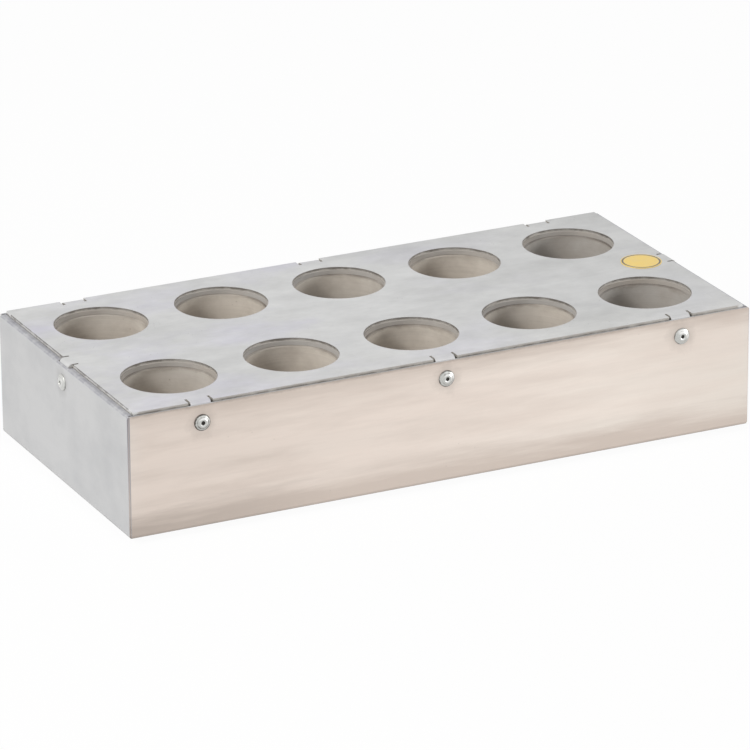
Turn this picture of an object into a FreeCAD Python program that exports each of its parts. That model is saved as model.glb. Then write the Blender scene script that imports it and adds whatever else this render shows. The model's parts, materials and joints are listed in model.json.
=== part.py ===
import FreeCAD, Part
import math
import os
import re

import Sketcher
from FreeCAD import Placement, Rotation, Vector

# A dry block heater with two rows of wells. X runs along its length, the front faces -Y and +Z is up.
# The origin lies on the bench, under the middle of everything. While a piece is drawn, y is measured from the
# middle of the casing, and the finished piece is then moved forward by half of what stands out at the rear.

# Driving dimensions in millimetres. columns, knob_flutes and output_ways are counts, rocker_tilt is degrees.
SIZES = {
    # Wells and heating block
    "columns": 5,
    "column_pitch": 62.25,
    "row_pitch": 78.7,
    "well_bore": 43.0,
    "well_depth": 23.0,
    "well_floor": 4.0,
    "mouth_chamfer": 0.8,
    "block_rim": 6.5,
    "block_corner": 2.0,
    # Top plate with its tabs, and the gasket below it
    "plate_sheet": 1.5,
    "hole_margin": 1.0,
    "plate_rise": 1.4,
    "end_gap": 0.4,
    "edge_gap": 0.15,
    "tab_width": 10.0,
    "tab_drop": 17.0,
    "tab_bend": 0.8,
    "slit_width": 1.2,
    "slit_reach": 5.0,
    "gasket_sheet": 2.0,
    "gasket_margin": 0.5,
    # Insulation boards
    "side_board": 6.0,
    "floor_board": 5.0,
    "fit_gap": 0.2,
    # Folded tray
    "tray_sheet": 1.0,
    "bend_inside": 0.6,
    "corner_notch": 0.75,
    "lip_reach": 2.0,
    # Blind rivets
    "rivet_drop": 8.7,
    "rivet_shank": 4.0,
    "rivet_head": 8.0,
    "rivet_dome": 1.5,
    "rivet_rim": 0.3,
    "rivet_mouth": 0.4,
    "dome_radius": 6.0,
    "rivet_bulb": 5.8,
    "bulb_length": 3.0,
    "mandrel": 2.1,
    "mandrel_sink": 0.9,
    "mandrel_head": 3.6,
    "mandrel_head_tall": 1.4,
    # Clearances of fasteners, around a thread and around a passing shank
    "thread_gap": 0.05,
    "shank_gap": 0.15,
    # Small screws and nuts
    "screw": 2.9,
    "screw_head": 5.5,
    "screw_head_tall": 1.6,
    "nut_flats": 5.5,
    "nut_tall": 2.4,
    # Pillars that carry the block
    "pillar": 12.0,
    "spigot": 7.5,
    "stud": 4.9,
    "stud_length": 8.0,
    "pillar_screw": 4.0,
    "pillar_screw_length": 10.0,
    "pillar_head": 8.0,
    "pillar_head_tall": 2.4,
    # Feet
    "foot_diameter": 14.0,
    "foot_taper": 1.0,
    "foot_inset": 16.0,
    "foot_clear": 0.6,
    "foot_recess_gap": 0.3,
    # Cartridge heaters and sensor
    "heater": 8.0,
    "heater_stop": 25.0,
    "heater_offset": 9.0,
    "lead_spread": 3.0,
    "sensor": 5.0,
    "sensor_length": 45.0,
    "lead_room": 7.0,
    "lead": 2.0,
    "thin_lead": 1.2,
    "lead_height": 3.0,
    "lead_turn": 6.0,
    "lead_grip": 3.0,
    "lead_slope": 7.0,
    "pad_pitch": 4.0,
    # Thermal cut-out
    "cutout": 16.0,
    "cutout_tall": 9.0,
    "cutout_ear_pitch": 24.0,
    "cutout_ear_wide": 8.0,
    "cutout_ear_sheet": 0.8,
    "cutout_screw_length": 5.0,
    "cutout_window_gap": 1.0,
    "blade_wide": 5.0,
    "blade_sheet": 0.8,
    "blade_tall": 6.0,
    "cutout_blade_pitch": 8.0,
    # Appliance inlet
    "inlet_wide": 27.2,
    "inlet_tall": 19.8,
    "inlet_deep": 18.0,
    "inlet_flange_wide": 50.0,
    "inlet_flange_tall": 22.5,
    "inlet_flange_sheet": 2.5,
    "inlet_corner": 4.0,
    "inlet_screw_pitch": 40.0,
    "socket_wide": 24.4,
    "socket_tall": 16.6,
    "socket_deep": 15.0,
    "socket_bevel": 4.5,
    "pin_pitch": 14.0,
    "pin_rise": 2.0,
    "pin_wide": 2.0,
    "pin_tall": 4.0,
    "pin_recess": 1.0,
    "pin_tail": 5.0,
    "cutout_gap": 0.2,
    # Rocker switch
    "rocker_wide": 10.4,
    "rocker_tall": 15.6,
    "rocker_tilt": 10.0,
    "rocker_gap": 0.2,
    "rocker_swing_gap": 1.0,
    "rocker_rise": 6.0,
    "rocker_dip": 1.8,
    "rocker_keel": 5.0,
    "rocker_keel_wide": 6.0,
    "pivot": 2.4,
    "pivot_reach": 0.5,
    "pivot_depth": 1.5,
    "switch_wall": 1.0,
    "switch_deep": 14.0,
    "switch_well": 9.5,
    "bezel_lip": 1.2,
    "bezel_sheet": 2.0,
    "bezel_corner": 1.0,
    "tab_pitch": 8.0,
    # Temperature control and its knob
    "pot": 16.5,
    "pot_deep": 8.5,
    "bush": 7.0,
    "bush_length": 5.5,
    "shaft": 6.0,
    "shaft_gap": 0.05,
    "shaft_sunk": 6.0,
    "washer": 12.0,
    "washer_sheet": 0.8,
    "pot_nut_flats": 10.0,
    "pot_nut_tall": 2.2,
    "knob_diameter": 21.0,
    "knob_taper": 1.0,
    "knob_tall": 14.0,
    "knob_round": 1.5,
    "knob_gap": 0.8,
    "knob_wall": 2.0,
    "knob_recess": 6.0,
    "knob_flutes": 18,
    "flute": 2.0,
    "flute_bite": 0.5,
    "pointer_wide": 1.2,
    "pointer_sheet": 0.3,
    # Control board and what stands on it
    "board_sheet": 1.6,
    "board_lift": 6.0,
    "board_margin": 8.0,
    "board_clear": 2.5,
    "part_gap": 3.0,
    "spacer": 6.0,
    "relay_wide": 20.0,
    "relay_deep": 16.0,
    "relay_tall": 14.5,
    "transformer_wide": 24.0,
    "transformer_deep": 22.0,
    "transformer_tall": 13.0,
    "coil_side": 4.0,
    "capacitor": 10.0,
    "capacitor_tall": 13.0,
    "strip_deep": 9.0,
    "strip_tall": 10.0,
    "strip_pitch": 5.0,
    "strip_entry": 2.6,
    "output_ways": 7,
    "mains_ways": 2,
    "fuse": 5.2,
    "fuse_length": 20.0,
    "clip_wide": 5.0,
    "clip_wall": 0.8,
    "bay_room": 2.7,
    # Earth stud
    "earth_stud": 4.0,
    "earth_stud_tall": 9.0,
    "earth_nut_flats": 7.0,
    "earth_nut_tall": 3.0,
    "earth_right": 14.0,
    "earth_front": 20.0,
    "eye": 9.5,
    "eye_sheet": 0.8,
    "barrel": 2.4,
    "barrel_length": 5.0,
    "cutout_room": 28.0,
    # Round sticker on the plate
    "sticker": 20.0,
    "sticker_sheet": 0.2,
    "sticker_inset": 4.1,
}

# Dimensions that follow from the driving ones
DERIVED = {
    "span_x": "(columns - 1) * column_pitch",
    "block_length": "span_x + well_bore + 2 * block_rim",
    "block_width": "row_pitch + well_bore + 2 * block_rim",
    "block_height": "well_depth + well_floor",
    "lined_length": "block_length + 2 * (fit_gap + side_board)",
    "lined_width": "block_width + 2 * (fit_gap + side_board)",
    "cavity_length": "lined_length + 2 * (fit_gap + plate_sheet)",
    "cavity_width": "lined_width + 2 * (fit_gap + plate_sheet)",
    "case_length": "cavity_length + 2 * tray_sheet",
    "case_width": "cavity_width + 2 * tray_sheet",
    "rear_y": "case_width / 2",
    "plate_length": "cavity_length - 2 * (lip_reach + end_gap)",
    "plate_width": "cavity_width - 2 * edge_gap",
    "gasket_length": "min(lined_length - 2 * tab_bend; plate_length - 2 * fit_gap)",
    "gasket_width": "lined_width - 2 * tab_bend",
    "switch_tall": "rocker_tall + 2 * (rocker_swing_gap + switch_wall)",
    "switch_wide": "rocker_wide + 2 * (rocker_gap + switch_wall)",
    "board_stack": "board_lift + board_sheet + max(relay_tall; transformer_tall; capacitor_tall)",
    "bay_height": "max(inlet_tall; switch_tall; pot; board_stack) + bay_room",
    "foot_height": "pillar_head_tall + foot_clear",
    "floor_z": "foot_height + tray_sheet",
    "shelf_z": "floor_z + bay_height",
    "block_z": "shelf_z + floor_board",
    "block_top": "block_z + block_height",
    "plate_z": "block_top + gasket_sheet",
    "top_z": "plate_z + plate_sheet",
    "wall_top": "top_z - plate_rise",
    "rivet_z": "wall_top - rivet_drop",
    "control_z": "floor_z + bay_height / 2",
    "pillar_x": "(columns / 2 - 1) * column_pitch",
    "pillar_y": "row_pitch / 2",
    "foot_x": "case_length / 2 - foot_inset",
    "foot_y": "case_width / 2 - foot_inset",
    "inlet_x": "span_x / 2",
    "switch_x": "inlet_x - column_pitch",
    "knob_x": "switch_x - column_pitch",
    "heater_z": "block_z + block_height / 2",
    "heater_length": "block_length - heater_stop",
    "lead_window": "2 * heater_offset + heater + lead_spread",
    "board_wide": "2 * board_margin + 3 * part_gap + relay_wide + transformer_wide + capacitor + strip_deep",
    "strip_long": "(output_ways + 0.4) * strip_pitch",
    "mains_long": "(mains_ways + 0.4) * strip_pitch",
    "board_deep": "2 * board_margin + strip_long",
    "board_left": "pillar / 2 + board_clear - pillar_x",
    "board_top": "floor_z + board_lift + board_sheet",
    "strip_x": "board_left + board_wide - board_margin - strip_deep / 2",
    "entry_z": "board_top + strip_tall / 3",
    "mains_x": "board_left + board_margin + relay_wide + part_gap + transformer_wide / 2",
    "mouth_x": "strip_x + strip_deep / 2",
    "pad_x": "mouth_x - strip_deep - part_gap - capacitor / 2",
    "pad_y": "board_deep / 2 - pad_pitch",
    "cutout_x": "board_left + board_wide + cutout_room",
    "earth_x": "pillar_x + earth_right",
    "earth_y": "pillar_y - earth_front",
    "pins_end": "rear_y - inlet_deep - pin_tail",
    "tabs_end": "rear_y - switch_deep - blade_tall",
    "overhang": "knob_gap + knob_tall + pointer_sheet",
    "forward": "(overhang - rivet_dome) / 2",
}

UP = Rotation()
DOWN = Rotation(Vector(1, 0, 0), 180)
BACK = Rotation(Vector(1, 0, 0), -90)
FRONT = Rotation(Vector(1, 0, 0), 90)
RIGHT = Rotation(Vector(0, 1, 0), 90)
LEFT = Rotation(Vector(0, 1, 0), -90)

# Lengths that differ by less than this, in millimetres, count as equal
CLOSE = 1e-4

doc = FreeCAD.newDocument("dry_block_heater")
sizes = doc.addObject("Spreadsheet::Sheet", "Sizes")
parts = []
seats = {}


# Sizes and expressions


def fill_sheet():
    """Write the driving dimensions as plain numbers and the rest as formulas, each under its own alias."""
    rows = [(name, str(value)) for name, value in SIZES.items()]
    rows += [(name, "=" + formula) for name, formula in DERIVED.items()]
    for row, (name, content) in enumerate(rows, 1):
        sizes.set(f"A{row}", name)
        sizes.set(f"B{row}", content)
        sizes.setAlias(f"B{row}", name)
    doc.recompute()


def bound(text):
    """An expression on the sheet's cells."""
    return re.sub(r"[a-z_]{2,}", lambda word: "Sizes." + word.group(), text)


def number(text):
    """The value that an expression has with the sheet as it stands."""
    filled = re.sub(r"[a-z_]{2,}", lambda word: f"({float(sizes.get(word.group())):.9f})", text)
    return FreeCAD.Units.parseQuantity(filled).Value


def bind(item, **expressions):
    for name, text in expressions.items():
        item.setExpression(name, bound(text))


def place(item, x, y, z, turn=UP):
    """Put an object's own origin at x, y, z, turned."""
    item.Placement = Placement(Vector(), turn)
    seats[item.Name] = y
    for axis, text in zip("xyz", (x, y, z)):
        item.setExpression(f"Placement.Base.{axis}", bound(text))


def finish(item, label):
    """Mark an object as a finished sub-part and move it forward into the frame of the whole."""
    item.Label = label
    y = seats.get(item.Name, "0")
    item.setExpression("Placement.Base.y", bound(f"{y} - forward"))
    parts.append(item)
    return item


# Solids from primitives


def box(x, y, z, wide, deep, tall):
    """A block centred on x, y and standing on z."""
    item = doc.addObject("Part::Box", "Block")
    bind(item, Length=wide, Width=deep, Height=tall)
    place(item, f"{x} - ({wide}) / 2", f"{y} - ({deep}) / 2", z)
    return item


def rod(x, y, z, diameter, length, turn=UP):
    """A cylinder that starts at x, y, z."""
    item = doc.addObject("Part::Cylinder", "Rod")
    bind(item, Radius=f"({diameter}) / 2", Height=length)
    place(item, x, y, z, turn)
    return item


def hexagon(x, y, z, flats, length, turn=UP):
    """A six-sided prism that starts at x, y, z."""
    item = doc.addObject("Part::Prism", "Hexagon")
    item.Polygon = 6
    bind(item, Circumradius=f"({flats}) / 3 ^ 0.5", Height=length)
    place(item, x, y, z, turn)
    return item


def fuse(*shapes):
    item = doc.addObject("Part::MultiFuse", "Joined")
    item.Shapes = list(shapes)
    return item


def cut(base, *tools):
    item = doc.addObject("Part::Cut", "Drilled")
    item.Base = base
    item.Tool = tools[0] if len(tools) == 1 else fuse(*tools)
    return item


def group(*shapes):
    """Separate solids kept side by side."""
    item = doc.addObject("Part::Compound", "Group")
    item.Links = list(shapes)
    return item


def copies(source, places):
    """The source repeated at each place (x, y, z, turn), as separate solids."""
    links = []
    for x, y, z, turn in places:
        link = doc.addObject("App::Link", "Copy")
        link.LinkedObject = source
        place(link, x, y, z, turn)
        links.append(link)
    return group(*links)


# Bodies from sketches


def new_body(name):
    return doc.addObject("PartDesign::Body", name)


def origin_feature(body, role):
    return next(item for item in body.Origin.OriginFeatures if item.Role == role)


def add_sketch(body, plane, offset="0"):
    """A sketch on one of the body's own planes, moved along that plane's normal."""
    sketch = body.newObject("Sketcher::SketchObject", "Sketch")
    sketch.AttachmentSupport = [(origin_feature(body, plane), "")]
    sketch.MapMode = "FlatFace"
    sketch.setExpression("AttachmentOffset.Base.z", bound(offset))
    return sketch


def hold(sketch, kind, *where, text):
    """Add a dimension to the sketch and bind it."""
    index = sketch.addConstraint(Sketcher.Constraint(kind, *where, number(text)))
    sketch.setExpression(f"Constraints[{index}]", bound(text))


def arc_between(start, end, radius, clockwise):
    """The arc of under half a circle from start to end, drawn counter-clockwise as sketches keep it."""
    first, last = (end, start) if clockwise else (start, end)
    chord = last - first
    reach = math.sqrt(radius**2 - (chord.Length / 2) ** 2)
    inward = Vector(-chord.y, chord.x, 0).normalize()
    centre = (first + last) * 0.5 + inward * reach
    angles = [math.atan2(point.y - centre.y, point.x - centre.x) for point in (first, last)]
    return Part.ArcOfCircle(Part.Circle(centre, Vector(0, 0, 1), radius), *angles)


def outline(sketch, points, arcs=None):
    """A closed outline. arcs maps a point's number to the radius and turn of the arc that leaves it."""
    arcs = arcs or {}
    corners = [Vector(number(x), number(y), 0) for x, y in points]
    strokes = []
    for index, start in enumerate(corners):
        end = corners[(index + 1) % len(corners)]
        if index in arcs:
            radius, clockwise = arcs[index]
            stroke = sketch.addGeometry(arc_between(start, end, number(radius), clockwise))
            strokes.append((stroke, 2, 1) if clockwise else (stroke, 1, 2))
        else:
            strokes.append((sketch.addGeometry(Part.LineSegment(start, end)), 1, 2))
    for index, (stroke, _, end) in enumerate(strokes):
        following, start, _ = strokes[(index + 1) % len(strokes)]
        sketch.addConstraint(Sketcher.Constraint("Coincident", stroke, end, following, start))
    for index, (x, y) in enumerate(points):
        stroke, start, _ = strokes[index]
        hold(sketch, "DistanceX", -1, 1, stroke, start, text=x)
        hold(sketch, "DistanceY", -1, 1, stroke, start, text=y)
        if index in arcs:
            hold(sketch, "Radius", stroke, text=arcs[index][0])


def rectangle(sketch, x, y, wide, tall):
    """A rectangle centred on x, y."""
    sides = [f"{x} - ({wide}) / 2", f"{x} + ({wide}) / 2"]
    ends = [f"{y} - ({tall}) / 2", f"{y} + ({tall}) / 2"]
    outline(sketch, [(sides[0], ends[0]), (sides[1], ends[0]), (sides[1], ends[1]), (sides[0], ends[1])])


def rounded_rectangle(sketch, wide, tall, radius):
    """A rectangle centred on the sketch's origin, with rounded corners."""
    points = []
    for side, end in ((-1, -1), (1, -1), (1, 1), (-1, 1)):
        along = (f"{side} * (({wide}) / 2 - {radius})", f"{end} * ({tall}) / 2")
        across = (f"{side} * ({wide}) / 2", f"{end} * (({tall}) / 2 - {radius})")
        points += [across, along] if side == end else [along, across]
    outline(sketch, points, {index: (radius, False) for index in (0, 2, 4, 6)})


def circle(sketch, x, y, diameter):
    centre = Vector(number(x), number(y), 0)
    ring = sketch.addGeometry(Part.Circle(centre, Vector(0, 0, 1), number(diameter) / 2))
    hold(sketch, "Diameter", ring, text=diameter)
    hold(sketch, "DistanceX", -1, 1, ring, 3, text=x)
    hold(sketch, "DistanceY", -1, 1, ring, 3, text=y)


def add_feature(body, kind, sketch, reverse=False, both_ways=False, **expressions):
    """A pad, pocket or the like made from a sketch."""
    feature = body.newObject(f"PartDesign::{kind}", kind)
    feature.Profile = sketch
    feature.Reversed = reverse
    if both_ways:
        feature.SideType = "Symmetric"
    if not expressions:
        feature.Type = "ThroughAll"
    bind(feature, **expressions)
    doc.recompute()
    return feature


def revolve(body, sketch):
    feature = body.newObject("PartDesign::Revolution", "Revolution")
    feature.Profile = sketch
    feature.ReferenceAxis = (sketch, ["V_Axis"])
    feature.Angle = 360
    doc.recompute()
    return feature


def repeat_along_x(body, feature, length, count):
    """Repeat a feature towards +X."""
    pattern = body.newObject("PartDesign::LinearPattern", "Row")
    pattern.Originals = [feature]
    pattern.Direction = (origin_feature(body, "X_Axis"), [""])
    bind(pattern, Length=length, Occurrences=count)
    body.Tip = pattern
    doc.recompute()
    return pattern


def level_edges(body, height, crosswise=False):
    """Names of the tip's edges that lie wholly at one height, or only of those that run along Y."""
    level = number(height)
    names = []
    for index, edge in enumerate(body.Tip.Shape.Edges, 1):
        span = edge.BoundBox
        if crosswise and span.XLength > CLOSE:
            continue
        if max(abs(span.ZMin - level), abs(span.ZMax - level)) < CLOSE:
            names.append(f"Edge{index}")
    return names


def upright_edges(body):
    """Names of the tip's straight edges that run along Z."""
    names = []
    for index, edge in enumerate(body.Tip.Shape.Edges, 1):
        span = edge.BoundBox
        if span.XLength < CLOSE and span.YLength < CLOSE:
            names.append(f"Edge{index}")
    return names


def dress(body, kind, names, **expressions):
    """A fillet or chamfer on named edges of the tip."""
    base = body.Tip
    feature = body.newObject(f"PartDesign::{kind}", kind)
    feature.Base = (base, names)
    bind(feature, **expressions)
    doc.recompute()
    return feature


# Leads


def lead_solid(points, diameter):
    """A round lead along straight runs, with each corner rounded as far as its two runs allow."""
    route = [Vector(*(number(value) for value in point)) for point in points]
    edges = []
    start = route[0]
    for before, corner, after in zip(route, route[1:], route[2:]):
        inward, onward = (before - corner), (after - corner)
        turn = math.pi - inward.getAngle(onward)
        setback = 0.45 * min(inward.Length, onward.Length)
        radius = setback / math.tan(turn / 2)
        inward.normalize()
        onward.normalize()
        middle = inward + onward
        middle.normalize()
        top = corner + middle * (radius / math.cos(turn / 2) - radius)
        edges.append(Part.LineSegment(start, corner + inward * setback).toShape())
        edges.append(Part.Arc(corner + inward * setback, top, corner + onward * setback).toShape())
        start = corner + onward * setback
    edges.append(Part.LineSegment(start, route[-1]).toShape())
    ring = Part.Circle(route[0], route[1] - route[0], number(diameter) / 2).toShape()
    return Part.Wire(edges).makePipeShell([Part.Wire([ring])], True, False)


def leads(label, routes, diameter):
    """One or more leads in one sub-part."""
    solids = [lead_solid(points, diameter) for points in routes]
    item = doc.addObject("Part::Feature", "Lead")
    item.Shape = solids[0] if len(solids) == 1 else Part.makeCompound(solids)
    return finish(item, label)


# Places that several sub-parts share


def columns_x():
    count = int(number("columns"))
    return [f"{index} * column_pitch - span_x / 2" for index in range(count)]


def well_centres():
    return [(x, y) for x in columns_x() for y in ("-row_pitch / 2", "row_pitch / 2")]


def four_corners(x, y):
    return [(f"{side} * {x}", f"{end} * {y}") for side in (-1, 1) for end in (-1, 1)]


def rivet_places():
    """Where each rivet's head seats on the walls, with the way that it faces."""
    places = []
    for x in ("-span_x / 2", "0", "span_x / 2"):
        places.append((x, "-case_width / 2", "rivet_z", FRONT))
        places.append((x, "case_width / 2", "rivet_z", BACK))
    places.append(("-case_length / 2", "0", "rivet_z", LEFT))
    places.append(("case_length / 2", "0", "rivet_z", RIGHT))
    return places


def board_corners():
    """Centres of the control board's fixing holes."""
    inset = "board_margin / 2"
    xs = (f"board_left + {inset}", f"board_left + board_wide - {inset}")
    ys = (f"{inset} - board_deep / 2", f"board_deep / 2 - {inset}")
    return [(x, y) for x in xs for y in ys]


# Casing


def mouth_outline():
    """The tray's mouth: narrow between the lips, wide at the corners and where the end tabs go down."""
    wall, lip = "cavity_length / 2", "cavity_length / 2 - lip_reach"
    corner, tab = "cavity_width / 2 - corner_notch", "tab_width / 2 + slit_width"
    steps = [(wall, "cavity_width / 2"), (wall, corner), (lip, corner), (lip, tab), (wall, tab)]
    right = [(x, f"-({y})") for x, y in steps] + steps[::-1]
    return right + [(f"-({x})", y) for x, y in right[::-1]]


def make_casing_tray():
    """Base, four walls and a lip on each end wall, folded from one sheet, with open corner seams and holes."""
    body = new_body("casing_tray")
    blank = add_sketch(body, "XY_Plane", "foot_height")
    rectangle(blank, "0", "0", "case_length", "case_width")
    add_feature(body, "Pad", blank, Length="wall_top - foot_height")
    folds = level_edges(body, "foot_height") + level_edges(body, "wall_top", crosswise=True)
    dress(body, "Fillet", folds, Radius="bend_inside + tray_sheet")
    hollow = add_sketch(body, "XY_Plane", "wall_top - tray_sheet")
    rectangle(hollow, "0", "0", "cavity_length", "cavity_width")
    add_feature(body, "Pocket", hollow, Length="wall_top - tray_sheet - floor_z")
    folds = level_edges(body, "floor_z") + level_edges(body, "wall_top - tray_sheet", crosswise=True)
    dress(body, "Fillet", folds, Radius="bend_inside")
    mouth = add_sketch(body, "XY_Plane", "wall_top")
    outline(mouth, mouth_outline())
    add_feature(body, "Pocket", mouth, Length="tray_sheet + bend_inside")
    seams = add_sketch(body, "XY_Plane", "wall_top")
    for x, y in four_corners("(case_length - corner_notch) / 2", "(case_width - corner_notch) / 2"):
        rectangle(seams, x, y, "corner_notch", "corner_notch")
    add_feature(body, "Pocket", seams)
    across = add_sketch(body, "XZ_Plane")
    circle(across, "-span_x / 2", "rivet_z", "rivet_shank + 2 * shank_gap")
    hole = add_feature(body, "Pocket", across, both_ways=True)
    repeat_along_x(body, hole, "span_x", "3")
    along = add_sketch(body, "YZ_Plane")
    circle(along, "0", "rivet_z", "rivet_shank + 2 * shank_gap")
    add_feature(body, "Pocket", along, both_ways=True)
    rear = add_sketch(body, "XZ_Plane", "-rear_y")
    rectangle(rear, "inlet_x", "control_z", "inlet_wide + 2 * cutout_gap", "inlet_tall + 2 * cutout_gap")
    for side in (-1, 1):
        circle(rear, f"inlet_x + {side} * inlet_screw_pitch / 2", "control_z", "screw + 2 * shank_gap")
    rectangle(rear, "switch_x", "control_z", "switch_wide + 2 * cutout_gap", "switch_tall + 2 * cutout_gap")
    circle(rear, "knob_x", "control_z", "bush + 2 * shank_gap")
    add_feature(body, "Pocket", rear, reverse=True, Length="2 * tray_sheet")
    floor = add_sketch(body, "XY_Plane", "foot_height")
    for x, y in four_corners("pillar_x", "pillar_y"):
        circle(floor, x, y, "pillar_screw + 2 * shank_gap")
    for x, y in four_corners("foot_x", "foot_y"):
        circle(floor, x, y, "screw + 2 * shank_gap")
    for x, y in board_corners():
        circle(floor, x, y, "screw + 2 * shank_gap")
    add_feature(body, "Pocket", floor, reverse=True, Length="2 * tray_sheet")
    finish(body, "casing_tray")


def tab_profile(sketch, side, wall):
    """Section of a tab: out over the plate's edge, round the bend and down inside the wall."""
    bend = "(tab_bend + plate_sheet)"
    points = [
        (f"{side} * ({wall} - slit_reach)", "top_z"),
        (f"{side} * ({wall} - {bend})", "top_z"),
        (f"{side} * {wall}", f"top_z - {bend}"),
        (f"{side} * {wall}", "top_z - tab_drop"),
        (f"{side} * ({wall} - plate_sheet)", "top_z - tab_drop"),
        (f"{side} * ({wall} - plate_sheet)", f"top_z - {bend}"),
        (f"{side} * ({wall} - {bend})", "plate_z"),
        (f"{side} * ({wall} - slit_reach)", "plate_z"),
    ]
    outer_clockwise = side > 0
    outline(sketch, points, {1: (bend, outer_clockwise), 5: ("tab_bend", not outer_clockwise)})


def make_top_plate():
    """Flat plate with a hole over each well, and tabs between slits, bent down and riveted to the walls."""
    body = new_body("top_plate")
    blank = add_sketch(body, "XY_Plane", "plate_z")
    rectangle(blank, "0", "0", "plate_length", "plate_width")
    add_feature(body, "Pad", blank, Length="plate_sheet")
    wells = add_sketch(body, "XY_Plane", "top_z")
    for y in ("-row_pitch / 2", "row_pitch / 2"):
        circle(wells, "-span_x / 2", y, "well_bore + 2 * hole_margin")
    hole = add_feature(body, "Pocket", wells)
    repeat_along_x(body, hole, "span_x", "columns")
    notch = "tab_width + 2 * slit_width"
    notches = add_sketch(body, "XY_Plane", "top_z")
    for side in (-1, 1):
        rectangle(notches, "-span_x / 2", f"{side} * (cavity_width - slit_reach) / 2", notch, "slit_reach")
    gap = add_feature(body, "Pocket", notches)
    repeat_along_x(body, gap, "span_x", "3")
    end_notches = add_sketch(body, "XY_Plane", "top_z")
    for side in (-1, 1):
        rectangle(end_notches, f"{side} * (cavity_length - slit_reach) / 2", "0", "slit_reach", notch)
    add_feature(body, "Pocket", end_notches)
    end_tabs = add_sketch(body, "XZ_Plane")
    for side in (-1, 1):
        tab_profile(end_tabs, side, "cavity_length / 2")
    add_feature(body, "Pad", end_tabs, both_ways=True, Length="tab_width")
    side_tabs = add_sketch(body, "YZ_Plane", "-span_x / 2")
    for side in (-1, 1):
        tab_profile(side_tabs, side, "cavity_width / 2")
    tab = add_feature(body, "Pad", side_tabs, both_ways=True, Length="tab_width")
    repeat_along_x(body, tab, "span_x", "3")
    across = add_sketch(body, "XZ_Plane")
    circle(across, "-span_x / 2", "rivet_z", "rivet_shank + 2 * shank_gap")
    hole = add_feature(body, "Pocket", across, both_ways=True)
    repeat_along_x(body, hole, "span_x", "3")
    along = add_sketch(body, "YZ_Plane")
    circle(along, "0", "rivet_z", "rivet_shank + 2 * shank_gap")
    add_feature(body, "Pocket", along, both_ways=True)
    finish(body, "top_plate")


def make_rivets():
    """Blind rivets: a domed sleeve that is spread behind the tab, and the stem left inside it."""
    grip = "(tray_sheet + plate_sheet)"
    sleeve = new_body("rivet_sleeve")
    section = add_sketch(sleeve, "XZ_Plane")
    bore = "mandrel / 2 + thread_gap"
    points = [
        (f"{bore} + rivet_mouth", "rivet_dome"),
        (bore, "rivet_dome - rivet_mouth"),
        (bore, f"-{grip} - bulb_length"),
        ("rivet_bulb / 2 - rivet_rim", f"-{grip} - bulb_length"),
        ("rivet_bulb / 2", f"-{grip} - bulb_length / 2"),
        ("rivet_shank / 2", f"-{grip}"),
        ("rivet_shank / 2", "0"),
        ("rivet_head / 2", "0"),
        ("rivet_head / 2", "rivet_rim"),
    ]
    outline(section, points, {8: ("dome_radius", False)})
    revolve(sleeve, section)
    finish(copies(sleeve, rivet_places()), "rivet_sleeves")
    foot = f"-{grip} - bulb_length"
    stem = rod("0", "0", foot, "mandrel", f"rivet_dome - mandrel_sink - ({foot})")
    head = rod("0", "0", f"{foot} - mandrel_head_tall", "mandrel_head", "mandrel_head_tall")
    finish(copies(fuse(stem, head), rivet_places()), "rivet_mandrels")


def make_sticker():
    """A plain round sticker on the plate, past the last column of wells."""
    x = "plate_length / 2 - sticker_inset - sticker / 2"
    finish(rod(x, "0", "top_z", "sticker", "sticker_sheet"), "round_sticker")


# Heating block and insulation


def make_heating_block():
    """The machined block with its wells, and the bores for heaters, sensor and fixings."""
    body = new_body("heating_block")
    blank = add_sketch(body, "XY_Plane", "block_z")
    rectangle(blank, "0", "0", "block_length", "block_width")
    add_feature(body, "Pad", blank, Length="block_height")
    dress(body, "Fillet", upright_edges(body), Radius="block_corner")
    mouths = add_sketch(body, "XY_Plane", "block_top")
    for y in ("-row_pitch / 2", "row_pitch / 2"):
        circle(mouths, "-span_x / 2", y, "well_bore")
    well = add_feature(body, "Pocket", mouths, Length="well_depth")
    repeat_along_x(body, well, "span_x", "columns")
    rims = [name for name in level_edges(body, "block_top") if is_circle(body, name)]
    dress(body, "Chamfer", rims, Size="mouth_chamfer")
    end = add_sketch(body, "YZ_Plane", "block_length / 2")
    for side in (-1, 1):
        circle(end, f"{side} * heater_offset", "heater_z", "heater + 2 * thread_gap")
    add_feature(body, "Pocket", end, Length="heater_length")
    probe = add_sketch(body, "YZ_Plane", "block_length / 2")
    circle(probe, "0", "heater_z", "sensor + 2 * thread_gap")
    add_feature(body, "Pocket", probe, Length="sensor_length")
    under = add_sketch(body, "XY_Plane", "block_z")
    for x, y in four_corners("pillar_x", "pillar_y"):
        circle(under, x, y, "stud + 2 * thread_gap")
    add_feature(body, "Pocket", under, reverse=True, Length="stud_length + thread_gap")
    ears = add_sketch(body, "XY_Plane", "block_z")
    for side in (-1, 1):
        circle(ears, f"cutout_x + {side} * cutout_ear_pitch / 2", "0", "screw + 2 * thread_gap")
    add_feature(body, "Pocket", ears, reverse=True, Length="cutout_screw_length")
    finish(body, "heating_block")


def is_circle(body, name):
    return isinstance(body.Tip.Shape.getElement(name).Curve, Part.Circle)


def make_gasket():
    """Soft sheet between block and plate, open over each well."""
    sheet = box("0", "0", "block_top", "gasket_length", "gasket_width", "gasket_sheet")
    bore = "well_bore + 2 * gasket_margin"
    holes = [rod(x, y, "block_top", bore, "gasket_sheet") for x, y in well_centres()]
    finish(cut(sheet, *holes), "top_gasket")


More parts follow.
